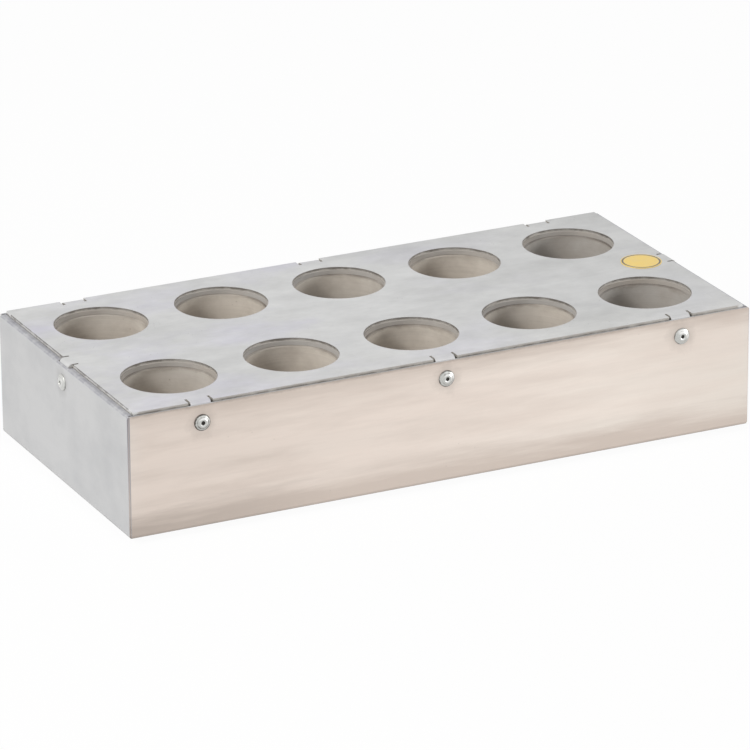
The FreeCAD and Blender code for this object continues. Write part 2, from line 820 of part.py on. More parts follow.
def make_floor_board():
    """Board under the block, on the pillars' shoulders, with windows for the cut-out and the leads."""
    gap = "2 * fit_gap"
    board = box("0", "0", "shelf_z", f"cavity_length - {gap}", f"cavity_width - {gap}", "floor_board")
    posts = four_corners("pillar_x", "pillar_y")
    tools = [rod(x, y, "shelf_z", f"spigot + {gap}", "floor_board") for x, y in posts]
    ears = "cutout_ear_pitch + cutout_ear_wide + 2 * cutout_window_gap"
    tools.append(box("cutout_x", "0", "shelf_z", ears, "cutout + 2 * cutout_window_gap", "floor_board"))
    slot_x = "(block_length + lead_room) / 2"
    tools.append(box(slot_x, "0", "shelf_z", "lead_room", "lead_window", "floor_board"))
    finish(cut(board, *tools), "floor_board")


def make_side_boards():
    """Four boards around the block, drilled where the rivets' blind ends stand in."""
    spread = "rivet_bulb + 4 * fit_gap"
    for label, side in (("board_front", -1), ("board_rear", 1)):
        y = f"{side} * (lined_width - side_board) / 2"
        board = box("0", y, "block_z", "lined_length", "side_board", "block_height")
        start = f"{side} * lined_width / 2"
        turn = FRONT if side > 0 else BACK
        xs = ("-span_x / 2", "0", "span_x / 2")
        holes = [rod(x, start, "rivet_z", spread, "side_board", turn) for x in xs]
        finish(cut(board, *holes), label)
    for label, side in (("board_left", -1), ("board_right", 1)):
        x = f"{side} * (lined_length - side_board) / 2"
        board = box(x, "0", "block_z", "side_board", "block_width", "block_height")
        turn = LEFT if side > 0 else RIGHT
        tools = [rod(f"{side} * lined_length / 2", "0", "rivet_z", spread, "side_board", turn)]
        if side > 0:
            window = "heater_z - block_z + heater"
            tools.append(box(x, "0", "block_z", "side_board", "lead_window", window))
        finish(cut(board, *tools), label)


def make_heaters():
    """Two cartridges between the rows of wells and the sensor between them, put in from the right end."""
    for label, side in (("heater_front", -1), ("heater_rear", 1)):
        y = f"{side} * heater_offset"
        finish(rod("block_length / 2", y, "heater_z", "heater", "heater_length", LEFT), label)
    finish(rod("block_length / 2", "0", "heater_z", "sensor", "sensor_length", LEFT), "temperature_sensor")


def make_cutout():
    """Thermal cut-out, a disc thermostat held by two ears against the block's underside."""
    ear_z = "block_z - cutout_ear_sheet"
    ear_long = "cutout_ear_pitch + cutout_ear_wide"
    ears = box("cutout_x", "0", ear_z, ear_long, "cutout_ear_wide", "cutout_ear_sheet")
    can = rod("cutout_x", "0", "block_z", "cutout", "cutout_tall", DOWN)
    blades = []
    holes = []
    for side in (-1, 1):
        y = f"{side} * cutout_blade_pitch / 2"
        foot = "block_z - cutout_tall - blade_tall"
        blades.append(box("cutout_x", y, foot, "blade_wide", "blade_sheet", "blade_tall"))
        x = f"cutout_x + {side} * cutout_ear_pitch / 2"
        holes.append(rod(x, "0", ear_z, "screw + 2 * shank_gap", "cutout_ear_sheet"))
    finish(cut(fuse(ears, can, *blades), *holes), "thermal_cutout")
    screw = make_screw("cutout_screw_length")
    places = [(f"cutout_x + {side} * cutout_ear_pitch / 2", "0", ear_z, DOWN) for side in (-1, 1)]
    finish(copies(screw, places), "cutout_screws")


# Fasteners, pillars and feet


def make_screw(length):
    """A small pan-head screw: its head stands on z 0 and its shank reaches down."""
    return fuse(
        rod("0", "0", "0", "screw_head", "screw_head_tall"),
        rod("0", "0", f"-({length})", "screw", length),
    )


def make_nut():
    """A small hexagon nut standing on z 0."""
    return cut(
        hexagon("0", "0", "0", "nut_flats", "nut_tall"),
        rod("0", "0", "0", "screw + 2 * thread_gap", "nut_tall"),
    )


def make_pillars():
    """Shouldered pillars: the floor board sits on the shoulder and the stud screws into the block."""
    post = fuse(
        rod("0", "0", "0", "pillar", "bay_height"),
        rod("0", "0", "bay_height", "spigot", "floor_board"),
        rod("0", "0", "bay_height + floor_board", "stud", "stud_length"),
    )
    thread = rod("0", "0", "0", "pillar_screw + 2 * thread_gap", "pillar_screw_length")
    corners = four_corners("pillar_x", "pillar_y")
    finish(copies(cut(post, thread), [(x, y, "floor_z", UP) for x, y in corners]), "block_pillars")
    screw = fuse(
        rod("0", "0", "0", "pillar_head", "pillar_head_tall"),
        rod("0", "0", "-pillar_screw_length", "pillar_screw", "pillar_screw_length"),
    )
    finish(copies(screw, [(x, y, "foot_height", DOWN) for x, y in corners]), "pillar_screws")


def make_feet():
    """Low rubber feet, each with a sunk screw and a nut on the tray's floor."""
    foot = new_body("foot")
    section = add_sketch(foot, "XZ_Plane")
    sink = "screw_head_tall + foot_recess_gap"
    recess = "screw_head / 2 + foot_recess_gap"
    points = [
        ("screw / 2 + shank_gap", "foot_height"),
        ("foot_diameter / 2", "foot_height"),
        ("foot_diameter / 2 - foot_taper", "0"),
        (recess, "0"),
        (recess, sink),
        ("screw / 2 + shank_gap", sink),
    ]
    outline(section, points)
    revolve(foot, section)
    names = ("foot_front_left", "foot_rear_left", "foot_front_right", "foot_rear_right")
    corners = four_corners("foot_x", "foot_y")
    for name, (x, y) in zip(names, corners):
        finish(copies(foot, [(x, y, "0", UP)]), name)
    screw = make_screw(f"floor_z + nut_tall - {sink}")
    finish(copies(screw, [(x, y, sink, DOWN) for x, y in corners]), "foot_screws")
    finish(copies(make_nut(), [(x, y, "floor_z", UP) for x, y in corners]), "foot_nuts")


# Rear wall: inlet, switch and temperature control


def pin_places():
    """Centres of the inlet's pins across its face: live, earth, neutral."""
    return [("-pin_pitch / 2", "-pin_rise"), ("0", "pin_rise"), ("pin_pitch / 2", "-pin_rise")]


def make_inlet():
    """Appliance inlet with a flange outside the wall, a bevelled socket and three flat pins."""
    body = new_body("inlet_housing")
    flange = add_sketch(body, "XZ_Plane")
    rounded_rectangle(flange, "inlet_flange_wide", "inlet_flange_tall", "inlet_corner")
    add_feature(body, "Pad", flange, reverse=True, Length="inlet_flange_sheet")
    shell = add_sketch(body, "XZ_Plane")
    rectangle(shell, "0", "0", "inlet_wide", "inlet_tall")
    add_feature(body, "Pad", shell, Length="inlet_deep")
    socket = add_sketch(body, "XZ_Plane", "-inlet_flange_sheet")
    half, rise = "socket_wide / 2", "socket_tall / 2"
    points = [
        (f"-{half}", f"-{rise}"),
        (half, f"-{rise}"),
        (half, f"{rise} - socket_bevel"),
        (f"{half} - socket_bevel", rise),
        (f"socket_bevel - {half}", rise),
        (f"-{half}", f"{rise} - socket_bevel"),
    ]
    outline(socket, points)
    add_feature(body, "Pocket", socket, reverse=True, Length="socket_deep + inlet_flange_sheet")
    slots = add_sketch(body, "XZ_Plane")
    for x, z in pin_places():
        rectangle(slots, x, z, "pin_wide + 2 * thread_gap", "pin_tall + 2 * thread_gap")
    add_feature(body, "Pocket", slots, reverse=True, Length="inlet_deep")
    holes = add_sketch(body, "XZ_Plane")
    for side in (-1, 1):
        circle(holes, f"{side} * inlet_screw_pitch / 2", "0", "screw + 2 * shank_gap")
    add_feature(body, "Pocket", holes, Length="inlet_flange_sheet")
    place(body, "inlet_x", "rear_y", "control_z")
    finish(body, "inlet_housing")
    pins = []
    long = "inlet_deep + pin_tail + inlet_flange_sheet - pin_recess"
    for x, z in pin_places():
        y = f"rear_y + inlet_flange_sheet - pin_recess - ({long}) / 2"
        pins.append(box(f"inlet_x + {x}", y, f"control_z + {z} - pin_tall / 2", "pin_wide", long, "pin_tall"))
    finish(group(*pins), "inlet_pins")
    xs = [f"inlet_x + {side} * inlet_screw_pitch / 2" for side in (-1, 1)]
    screw = make_screw("inlet_flange_sheet + tray_sheet + nut_tall")
    outside = "rear_y + inlet_flange_sheet"
    finish(copies(screw, [(x, outside, "control_z", BACK) for x in xs]), "inlet_screws")
    inside = "rear_y - tray_sheet"
    finish(copies(make_nut(), [(x, inside, "control_z", FRONT) for x in xs]), "inlet_nuts")


def make_switch():
    """Rocker switch: a bezelled housing in the wall, the rocker on its pivot, and two terminals."""
    housing = new_body("switch_housing")
    bezel = add_sketch(housing, "XZ_Plane")
    rounded_rectangle(bezel, "switch_wide + 2 * bezel_lip", "switch_tall + 2 * bezel_lip", "bezel_corner")
    add_feature(housing, "Pad", bezel, reverse=True, Length="bezel_sheet")
    shell = add_sketch(housing, "XZ_Plane")
    rectangle(shell, "0", "0", "switch_wide", "switch_tall")
    add_feature(housing, "Pad", shell, Length="switch_deep")
    well = add_sketch(housing, "XZ_Plane", "-bezel_sheet")
    rectangle(well, "0", "0", "rocker_wide + 2 * rocker_gap", "rocker_tall + 2 * rocker_swing_gap")
    add_feature(housing, "Pocket", well, reverse=True, Length="switch_well + bezel_sheet")
    pivots = add_sketch(housing, "YZ_Plane")
    circle(pivots, "-pivot_depth", "0", "pivot + 2 * thread_gap")
    reach = "rocker_wide + 2 * (rocker_gap + pivot_reach)"
    add_feature(housing, "Pocket", pivots, both_ways=True, Length=reach)
    place(housing, "switch_x", "rear_y", "control_z")
    finish(housing, "switch_housing")
    rocker = new_body("switch_rocker")
    section = add_sketch(rocker, "YZ_Plane")
    points = [
        ("rocker_rise", "-rocker_tall / 2"),
        ("rocker_rise - rocker_dip", "0"),
        ("rocker_rise", "rocker_tall / 2"),
        ("-pivot / 2", "rocker_tall / 2"),
        ("-rocker_keel", "rocker_keel_wide / 2"),
        ("-rocker_keel", "-rocker_keel_wide / 2"),
        ("-pivot / 2", "-rocker_tall / 2"),
    ]
    outline(section, points)
    add_feature(rocker, "Pad", section, both_ways=True, Length="rocker_wide")
    stubs = add_sketch(rocker, "YZ_Plane")
    circle(stubs, "0", "0", "pivot")
    add_feature(rocker, "Pad", stubs, both_ways=True, Length=f"{reach} - 2 * rocker_gap")
    tilt = Rotation(Vector(1, 0, 0), number("rocker_tilt"))
    place(rocker, "switch_x", "rear_y - pivot_depth", "control_z", tilt)
    rocker.setExpression("Placement.Rotation.Angle", bound("rocker_tilt"))
    finish(rocker, "switch_rocker")
    tabs = []
    for x, z in switch_tabs():
        y = "rear_y - switch_deep - blade_tall / 2"
        tabs.append(box(x, y, f"{z} - blade_wide / 2", "blade_sheet", "blade_tall", "blade_wide"))
    finish(group(*tabs), "switch_terminals")


def switch_tabs():
    """Centres of the switch's two terminals across its back."""
    return [("switch_x", f"control_z + {side} * tab_pitch / 2") for side in (-1, 1)]


def make_control():
    """Temperature control behind the wall, its nut and washer, and the knob on its shaft."""
    inside = "rear_y - tray_sheet"
    reach = "tray_sheet + bush_length"
    can = fuse(
        rod("knob_x", inside, "control_z", "pot", "pot_deep", FRONT),
        rod("knob_x", inside, "control_z", "bush", reach, BACK),
    )
    sunk = f"{inside} - shaft_sunk"
    bore = rod("knob_x", sunk, "control_z", "shaft + 2 * shaft_gap", f"shaft_sunk + {reach}", BACK)
    finish(cut(can, bore), "control_pot")
    hole = "bush + 2 * thread_gap"
    washer = rod("knob_x", "rear_y", "control_z", "washer", "washer_sheet", BACK)
    finish(cut(washer, rod("knob_x", "rear_y", "control_z", hole, "washer_sheet", BACK)), "pot_washer")
    seat = "rear_y + washer_sheet"
    nut = hexagon("knob_x", seat, "control_z", "pot_nut_flats", "pot_nut_tall", BACK)
    finish(cut(nut, rod("knob_x", seat, "control_z", hole, "pot_nut_tall", BACK)), "pot_nut")
    base = "rear_y + knob_gap"
    length = "shaft_sunk + tray_sheet + knob_gap + knob_tall - knob_wall"
    finish(rod("knob_x", sunk, "control_z", "shaft", length, BACK), "knob_shaft")
    make_knob(base)


def make_knob(base):
    """Fluted knob, hollow underneath to clear the nut, with a raised pointer line on its face."""
    knob = new_body("control_knob")
    section = add_sketch(knob, "XZ_Plane")
    core = "shaft / 2 + thread_gap"
    points = [
        ("0", "knob_tall"),
        ("0", "knob_tall - knob_wall"),
        (core, "knob_tall - knob_wall"),
        (core, "knob_recess"),
        ("knob_diameter / 2 - knob_wall", "knob_recess"),
        ("knob_diameter / 2 - knob_wall", "0"),
        ("knob_diameter / 2", "0"),
        ("knob_diameter / 2 - knob_taper", "knob_tall - knob_round"),
        ("knob_diameter / 2 - knob_taper - knob_round", "knob_tall"),
    ]
    outline(section, points, {7: ("knob_round", False)})
    revolve(knob, section)
    rim = add_sketch(knob, "XY_Plane", "knob_tall")
    circle(rim, "knob_diameter / 2 + flute / 2 - flute_bite", "0", "flute")
    flute = add_feature(knob, "Pocket", rim, Length="knob_tall - knob_wall")
    flutes = knob.newObject("PartDesign::PolarPattern", "Flutes")
    flutes.Originals = [flute]
    flutes.Axis = (origin_feature(knob, "Z_Axis"), [""])
    flutes.Angle = 360
    bind(flutes, Occurrences="knob_flutes")
    knob.Tip = flutes
    place(knob, "knob_x", base, "control_z", BACK)
    finish(knob, "control_knob")
    long = "knob_diameter / 2 - knob_taper - knob_round"
    face = f"{base} + knob_tall + pointer_sheet / 2"
    finish(box("knob_x", face, "control_z", "pointer_wide", "pointer_sheet", long), "knob_pointer")


# Control board


def make_control_board():
    """Printed board on spacers over the tray's floor, fixed with screws from below."""
    x = "board_left + board_wide / 2"
    under = "floor_z + board_lift"
    board = box(x, "0", under, "board_wide", "board_deep", "board_sheet")
    holes = [rod(*corner, under, "screw + 2 * shank_gap", "board_sheet") for corner in board_corners()]
    finish(cut(board, *holes), "control_board")
    spacer = cut(
        rod("0", "0", "0", "spacer", "board_lift"),
        rod("0", "0", "0", "screw + 2 * shank_gap", "board_lift"),
    )
    corners = board_corners()
    finish(copies(spacer, [(*corner, "floor_z", UP) for corner in corners]), "board_spacers")
    screw = make_screw("tray_sheet + board_lift + board_sheet + nut_tall")
    finish(copies(screw, [(*corner, "foot_height", DOWN) for corner in corners]), "board_screws")
    finish(copies(make_nut(), [(*corner, "board_top", UP) for corner in corners]), "board_nuts")


def make_board_parts():
    """What stands on the board, in a row from left to right, with the fuse behind the row."""
    relay_x = "board_left + board_margin + relay_wide / 2"
    finish(box(relay_x, "0", "board_top", "relay_wide", "relay_deep", "relay_tall"), "power_relay")
    core_deep = "transformer_deep - 2 * coil_side"
    coil_wide = "transformer_wide - 2 * coil_side"
    core = box("mains_x", "0", "board_top", "transformer_wide", core_deep, "transformer_tall")
    coil = box("mains_x", "0", "board_top", coil_wide, "transformer_deep", "transformer_tall - coil_side")
    finish(fuse(core, coil), "transformer")
    finish(rod("pad_x", "0", "board_top", "capacitor", "capacitor_tall"), "capacitor")
    make_strip("output_terminals", "strip_x", "0", "strip_deep", "strip_long", output_entries(), RIGHT)
    rear = "board_deep / 2 - strip_deep / 2"
    make_strip("mains_terminals", "mains_x", rear, "mains_long", "strip_deep", mains_entries(), BACK)
    fuse_y = "board_margin - board_deep / 2 + fuse / 2"
    start = "board_left + board_margin"
    axis_z = "board_top + fuse / 2 + clip_wall"
    finish(rod(start, fuse_y, axis_z, "fuse", "fuse_length", RIGHT), "fuse")
    clips = []
    for x in (f"{start} + clip_wide / 2", f"{start} + fuse_length - clip_wide / 2"):
        block = box(x, fuse_y, "board_top", "clip_wide", "fuse + 2 * clip_wall", "fuse")
        trough = rod(f"{x} - clip_wide / 2", fuse_y, axis_z, "fuse + 2 * thread_gap", "clip_wide", RIGHT)
        clips.append(cut(block, trough))
    finish(group(*clips), "fuse_clips")


def make_strip(label, x, y, wide, deep, entries, way):
    """A terminal strip with a round entry for each lead."""
    block = box(x, y, "board_top", wide, deep, "strip_tall")
    tools = []
    for entry in entries:
        tools.append(rod(*entry, "strip_entry", "strip_deep / 2", way.inverted()))
    finish(cut(block, *tools), label)


def output_entries():
    """Mouths of the output strip, on its right face."""
    count = int(number("output_ways"))
    ys = [f"({index} - (output_ways - 1) / 2) * strip_pitch" for index in range(count)]
    return [("mouth_x", y, "entry_z") for y in ys]


def mains_entries():
    """Mouths of the mains strip, on its rear face."""
    count = int(number("mains_ways"))
    xs = [f"mains_x + ({index} - (mains_ways - 1) / 2) * strip_pitch" for index in range(count)]
    return [(x, "board_deep / 2", "entry_z") for x in xs]


# Wiring


def make_earth():
    """Stud on the tray's floor, with the earth lead's eye and the nut that holds it."""
    finish(rod("earth_x", "earth_y", "floor_z", "earth_stud", "earth_stud_tall"), "earth_stud")
    hole = "earth_stud + 2 * thread_gap"
    ring = rod("earth_x", "earth_y", "floor_z", "eye", "eye_sheet")
    arm_x = "earth_x + (eye + barrel_length) / 2"
    arm = box(arm_x, "earth_y", "floor_z", "barrel_length + eye_sheet", "barrel", "barrel")
    finish(cut(fuse(ring, arm), rod("earth_x", "earth_y", "floor_z", hole, "eye_sheet")), "earth_eye")
    seat = "floor_z + eye_sheet"
    nut = hexagon("earth_x", "earth_y", seat, "earth_nut_flats", "earth_nut_tall")
    finish(cut(nut, rod("earth_x", "earth_y", seat, hole, "earth_nut_tall")), "earth_nut")


def block_lead(y, entry):
    """From the block's right end, down behind the board, along the floor and up into the output strip."""
    start, drop = "block_length / 2", "block_length / 2 + lead_room / 2"
    low = "floor_z + lead_height"
    _, mouth_y, _ = entry
    return [
        (start, y, "heater_z"),
        (drop, y, "heater_z"),
        (drop, y, low),
        ("mouth_x + 2 * lead_slope", mouth_y, low),
        ("mouth_x + lead_slope", mouth_y, "entry_z"),
        ("mouth_x - lead_grip", mouth_y, "entry_z"),
    ]


def make_block_leads():
    """Leads of heaters, sensor and cut-out, to the output strip."""
    entries = output_entries()
    last = len(entries) - 1
    routes = []
    for side, ends in ((-1, (0, 1)), (1, (last, last - 1))):
        outer = f"{side} * (heater_offset + lead_spread / 2)"
        inner = f"{side} * (heater_offset - lead_spread / 2)"
        routes += [block_lead(outer, entries[ends[0]]), block_lead(inner, entries[ends[1]])]
    leads("heater_leads", routes, "lead")
    leads("sensor_lead", [block_lead("0", entries[last // 2])], "lead")
    routes = []
    for side, entry in ((-1, entries[last // 2 - 1]), (1, entries[last // 2 + 1])):
        y = f"{side} * cutout_blade_pitch / 2"
        _, mouth_y, _ = entry
        route = [
            ("cutout_x", y, "block_z - cutout_tall - blade_tall"),
            ("cutout_x", y, "block_z - cutout_tall - blade_tall - lead_turn"),
            ("mouth_x + lead_slope", mouth_y, "entry_z"),
            ("mouth_x - lead_grip", mouth_y, "entry_z"),
        ]
        routes.append(route)
    leads("cutout_leads", routes, "lead")


def make_mains_leads():
    """Live through the switch, neutral straight to the board, earth to its stud, and the control's leads."""
    live, earth, neutral = [(f"inlet_x + {x}", "pins_end", f"control_z + {z}") for x, z in pin_places()]
    lower, upper = switch_tabs()
    far, near = mains_entries()
    run = "pins_end - lead_turn"
    route = [
        live,
        (live[0], run, live[2]),
        (lower[0], run, lower[1]),
        (lower[0], "tabs_end", lower[1]),
    ]
    leads("live_lead", [route], "lead")
    inside = "board_deep / 2 - lead_grip"
    route = [
        (upper[0], "tabs_end", upper[1]),
        (upper[0], run, upper[1]),
        (far[0], run, "entry_z"),
        (far[0], inside, "entry_z"),
    ]
    leads("switched_lead", [route], "lead")
    low = "floor_z + lead_height"
    clear = "pillar_y - pillar / 2 - lead"
    route = [
        neutral,
        (neutral[0], run, neutral[2]),
        ("inlet_x - lead_turn", clear, low),
        (f"{near[0]} + 2 * lead_slope", clear, low),
        (near[0], clear, "entry_z"),
        (near[0], inside, "entry_z"),
    ]
    leads("neutral_lead", [route], "lead")
    barrel_z = "floor_z + barrel / 2"
    route = [
        earth,
        (earth[0], f"{run} - lead_turn", earth[2]),
        (earth[0], "earth_y", barrel_z),
        ("earth_x + eye / 2 + barrel_length + eye_sheet / 2", "earth_y", barrel_z),
    ]
    leads("earth_lead", [route], "lead")
    routes = []
    for step in (-1, 0, 1):
        x = f"knob_x + {step} * pad_pitch"
        pad = f"pad_x + {step} * pad_pitch"
        over = "board_top + lead_turn"
        route = [
            (x, "rear_y - tray_sheet - pot_deep", "control_z - pad_pitch"),
            (x, "rear_y - tray_sheet - pot_deep - lead_turn", "control_z - pad_pitch"),
            (pad, "board_deep / 2 + lead_turn", over),
            (pad, "pad_y", over),
            (pad, "pad_y", "board_top"),
        ]
        routes.append(route)
    leads("control_leads", routes, "thin_lead")


# Whole part


def check(item):
    """Stop at a sub-part that failed to build."""
    shape = item.Shape
    if shape.isNull() or not shape.isValid() or not shape.Solids:
        raise RuntimeError(f"{item.Label} has no valid solid")


def main():
    fill_sheet()
    make_casing_tray()
    make_top_plate()
    make_rivets()
    make_sticker()
    make_heating_block()
    make_gasket()
    make_floor_board()
    make_side_boards()
    make_heaters()
    make_cutout()
    make_pillars()
    make_feet()
    make_inlet()
    make_switch()
    make_control()
    make_control_board()
    make_board_parts()
    make_earth()
    make_block_leads()
    make_mains_leads()
    doc.recompute()
    failed = [item.Label for item in doc.Objects if "Invalid" in item.State or "Error" in item.State]
    if failed:
        raise RuntimeError("not built: " + ", ".join(failed))
    os.makedirs("parts", exist_ok=True)
    for item in parts:
        check(item)
        item.Shape.exportStep(f"parts/{item.Label}.step")


main()
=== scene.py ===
import json
import math

import bmesh
import bpy
from mathutils import Matrix, Vector


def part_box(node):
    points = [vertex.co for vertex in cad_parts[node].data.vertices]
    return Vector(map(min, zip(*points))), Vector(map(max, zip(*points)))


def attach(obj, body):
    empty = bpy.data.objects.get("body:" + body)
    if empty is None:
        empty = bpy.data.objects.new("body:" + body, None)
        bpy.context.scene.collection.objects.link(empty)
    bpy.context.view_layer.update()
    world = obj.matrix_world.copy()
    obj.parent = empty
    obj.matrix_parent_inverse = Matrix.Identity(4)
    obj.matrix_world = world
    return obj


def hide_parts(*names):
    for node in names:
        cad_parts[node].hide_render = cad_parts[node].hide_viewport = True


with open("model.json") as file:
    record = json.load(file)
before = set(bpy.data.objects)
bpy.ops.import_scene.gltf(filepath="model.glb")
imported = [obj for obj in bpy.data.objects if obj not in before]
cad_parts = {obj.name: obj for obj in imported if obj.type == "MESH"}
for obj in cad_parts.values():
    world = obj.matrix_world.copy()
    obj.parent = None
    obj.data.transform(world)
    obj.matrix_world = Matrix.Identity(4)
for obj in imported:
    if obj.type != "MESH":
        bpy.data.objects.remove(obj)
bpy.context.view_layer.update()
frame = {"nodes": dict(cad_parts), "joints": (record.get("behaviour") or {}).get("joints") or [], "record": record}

bl_info = {
    "name": "Dry Block Heater",
    "version": (1, 0, 0),
    "blender": (4, 5, 0),
    "location": "View3D > Sidebar > Heater",
    "description": "Finishes, fittings and studio for a dry block heater",
    "category": "Object",
}

MM = 0.001


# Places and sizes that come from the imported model


def corners_of(node):
    """Lowest and highest corner of a node's box."""
    return [Vector(corner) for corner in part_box(node)]


def middle(node):
    """Centre of a node's box."""
    low, high = corners_of(node)
    return (low + high) / 2


def well_spots():
    """Centres of the wells, read from the spaces that the record keeps free in them."""
    spaces = frame["record"]["physics"]["openings"]
    boxes = [space["box_m"] for space in spaces if space["name"].startswith("well_")]
    return [(Vector(low) + Vector(high)) / 2 for low, high in boxes]


def well_radius():
    """Radius of a well, from the mount that the record states for one of them."""
    wells = [mount for mount in frame["record"]["mounts"] if mount["name"].startswith("well_")]
    return wells[0]["dims"]["r_mm"] * MM


# Settings


class HeaterSteel(bpy.types.PropertyGroup):
    """Colours and grain of the sheet steel."""

    # One steel throughout: the long walls' warmer, brighter colours are painted warm reflection and painted light,
    # the end walls' greyer, darker colours are painted shade
    wall_colour: bpy.props.FloatVectorProperty(
        name="Long wall", description="Brushed steel of the front and rear walls",
        subtype="COLOR", size=3, min=0, max=1, default=(0.852, 0.754, 0.684))
    # Painted sheen, laid on the long walls towards the right
    wall_pale: bpy.props.FloatVectorProperty(
        name="Long wall, pale", description="Brighter sheen of the front and rear walls",
        subtype="COLOR", size=3, min=0, max=1, default=(0.88, 0.815, 0.745))
    # Real smears, and also painted shade: the darker left of the long walls and the dull band at their foot
    wall_stain: bpy.props.FloatVectorProperty(
        name="Long wall, stain", description="Brownish smears left by handling and heat",
        subtype="COLOR", size=3, min=0, max=1, default=(0.620, 0.535, 0.475))
    end_colour: bpy.props.FloatVectorProperty(
        name="End wall", description="Greyer steel of the two end walls",
        subtype="COLOR", size=3, min=0, max=1, default=(0.584, 0.586, 0.590))
    end_dull: bpy.props.FloatVectorProperty(
        name="End wall, dull", description="Clouds on the end walls",
        subtype="COLOR", size=3, min=0, max=1, default=(0.522, 0.526, 0.534))
    plate_colour: bpy.props.FloatVectorProperty(
        name="Plate", description="Rolled steel of the top plate",
        subtype="COLOR", size=3, min=0, max=1, default=(0.614, 0.616, 0.614))
    plate_tint: bpy.props.FloatVectorProperty(
        name="Plate, tint", description="Faint heat tint of the top plate",
        subtype="COLOR", size=3, min=0, max=1, default=(0.575, 0.562, 0.668))
    plate_dull: bpy.props.FloatVectorProperty(
        name="Plate, dull", description="Duller clouds of the top plate",
        subtype="COLOR", size=3, min=0, max=1, default=(0.500, 0.502, 0.498))
    # Real soiling in specks and patches, and painted shade in gaps, folds, hollows and at the top of the holes
    grime: bpy.props.FloatVectorProperty(
        name="Grime", description="Dark dirt in seams, nicks and along edges",
        subtype="COLOR", size=3, min=0, max=1, default=(0.135, 0.115, 0.10))
    seam: bpy.props.FloatVectorProperty(
        name="Seam", description="Open corner seams of the tray",
        subtype="COLOR", size=3, min=0, max=1, default=(0.30, 0.30, 0.34))
    # Bright metal in the real scratches, and painted highlight near the long walls' ends and along the plate's
    # front edge
    bare_edge: bpy.props.FloatVectorProperty(
        name="Bare edge", description="Metal rubbed bright along edges",
        subtype="COLOR", size=3, min=0, max=1, default=(0.86, 0.85, 0.80))
    tab_width: bpy.props.FloatProperty(
        name="Tab width", description="Width of a tab with its two slits, where the plate's edge stays clean",
        unit="LENGTH", min=0.001, default=0.0124)
    grain_length: bpy.props.FloatProperty(
        name="Grain length", description="Length of one brush mark",
        unit="LENGTH", min=0.001, default=0.14)
    grain_width: bpy.props.FloatProperty(
        name="Grain width", description="Width of one brush mark",
        unit="LENGTH", min=0.0001, default=0.0016)
    # The dull band is a painted reflection of the floor's shade
    dull_height: bpy.props.FloatProperty(
        name="Dull height", description="Height of the dull band along the bottom of the long walls",
        unit="LENGTH", min=0, default=0.0145)


class HeaterWells(bpy.types.PropertyGroup):
    """Colours inside the wells and the roll of metal at the plate's holes."""

    bore_colour: bpy.props.FloatVectorProperty(
        name="Bore", description="Oxidised aluminium of the wells",
        subtype="COLOR", size=3, min=0, max=1, default=(0.665, 0.615, 0.550))
    bore_cool: bpy.props.FloatVectorProperty(
        name="Bore, cool", description="Greyer metal of the wells at the right end",
        subtype="COLOR", size=3, min=0, max=1, default=(0.475, 0.460, 0.440))
    # Also paints the shade deeper down the wells
    bore_dark: bpy.props.FloatVectorProperty(
        name="Bore, dark", description="Scale and dirt in the wells",
        subtype="COLOR", size=3, min=0, max=1, default=(0.31, 0.265, 0.225))
    hole_radius: bpy.props.FloatProperty(
        name="Hole radius", description="Radius of the holes in the plate",
        unit="LENGTH", min=0.001, default=well_radius() + 1 * MM)
    rim_radius: bpy.props.FloatProperty(
        name="Rim radius", description="Radius of the rolled burr at a hole's edge",
        unit="LENGTH", min=0.00005, default=0.00014)


class HeaterFasteners(bpy.types.PropertyGroup):
    """Rivets and screws."""

    # Painted highlight on the upper right of the crest, and the paler end rivets
    rivet_bright: bpy.props.FloatVectorProperty(
        name="Rivet, bright", description="Crest of a rivet's head",
        subtype="COLOR", size=3, min=0, max=1, default=(0.88, 0.875, 0.86))
    rivet_dull: bpy.props.FloatVectorProperty(
        name="Rivet, dull", description="Flange of a rivet's head",
        subtype="COLOR", size=3, min=0, max=1, default=(0.54, 0.545, 0.525))
    # Mostly painted shade at the head's edge, in its fold and in its bore, with real soiling in clouds
    rivet_grime: bpy.props.FloatVectorProperty(
        name="Rivet, grime", description="Dirt around a rivet's head and in its bore",
        subtype="COLOR", size=3, min=0, max=1, default=(0.10, 0.09, 0.08))
    zinc_colour: bpy.props.FloatVectorProperty(
        name="Zinc", description="Plating of the screws and nuts",
        subtype="COLOR", size=3, min=0, max=1, default=(0.62, 0.62, 0.60))
    seed: bpy.props.IntProperty(
        name="Turn seed", description="Chooses how far each fastener is turned", default=4)


class HeaterFittings(bpy.types.PropertyGroup):
    """Rear fittings and the dial's scale."""

    moulding_colour: bpy.props.FloatVectorProperty(
        name="Moulding", description="Black plastic of inlet, switch and knob",
        subtype="COLOR", size=3, min=0, max=1, default=(0.020, 0.020, 0.022))
    print_colour: bpy.props.FloatVectorProperty(
        name="Print", description="Ink of the dial's scale",
        subtype="COLOR", size=3, min=0, max=1, default=(0.03, 0.03, 0.035))
    tick_count: bpy.props.IntProperty(
        name="Ticks", description="Number of ticks on the dial's scale", min=2, default=11)
    tick_sweep: bpy.props.FloatProperty(
        name="Sweep", description="Angle that the scale covers",
        subtype="ANGLE", default=math.radians(300))
    tick_length: bpy.props.FloatProperty(
        name="Tick length", description="Length of one tick", unit="LENGTH", default=0.0016)
    number_size: bpy.props.FloatProperty(
        name="Number size", description="Height of the scale's numbers", unit="LENGTH", default=0.0031)
    sticker_colour: bpy.props.FloatVectorProperty(
        name="Sticker", description="Film of the round sticker",
        subtype="COLOR", size=3, min=0, max=1, default=(0.87, 0.60, 0.10))


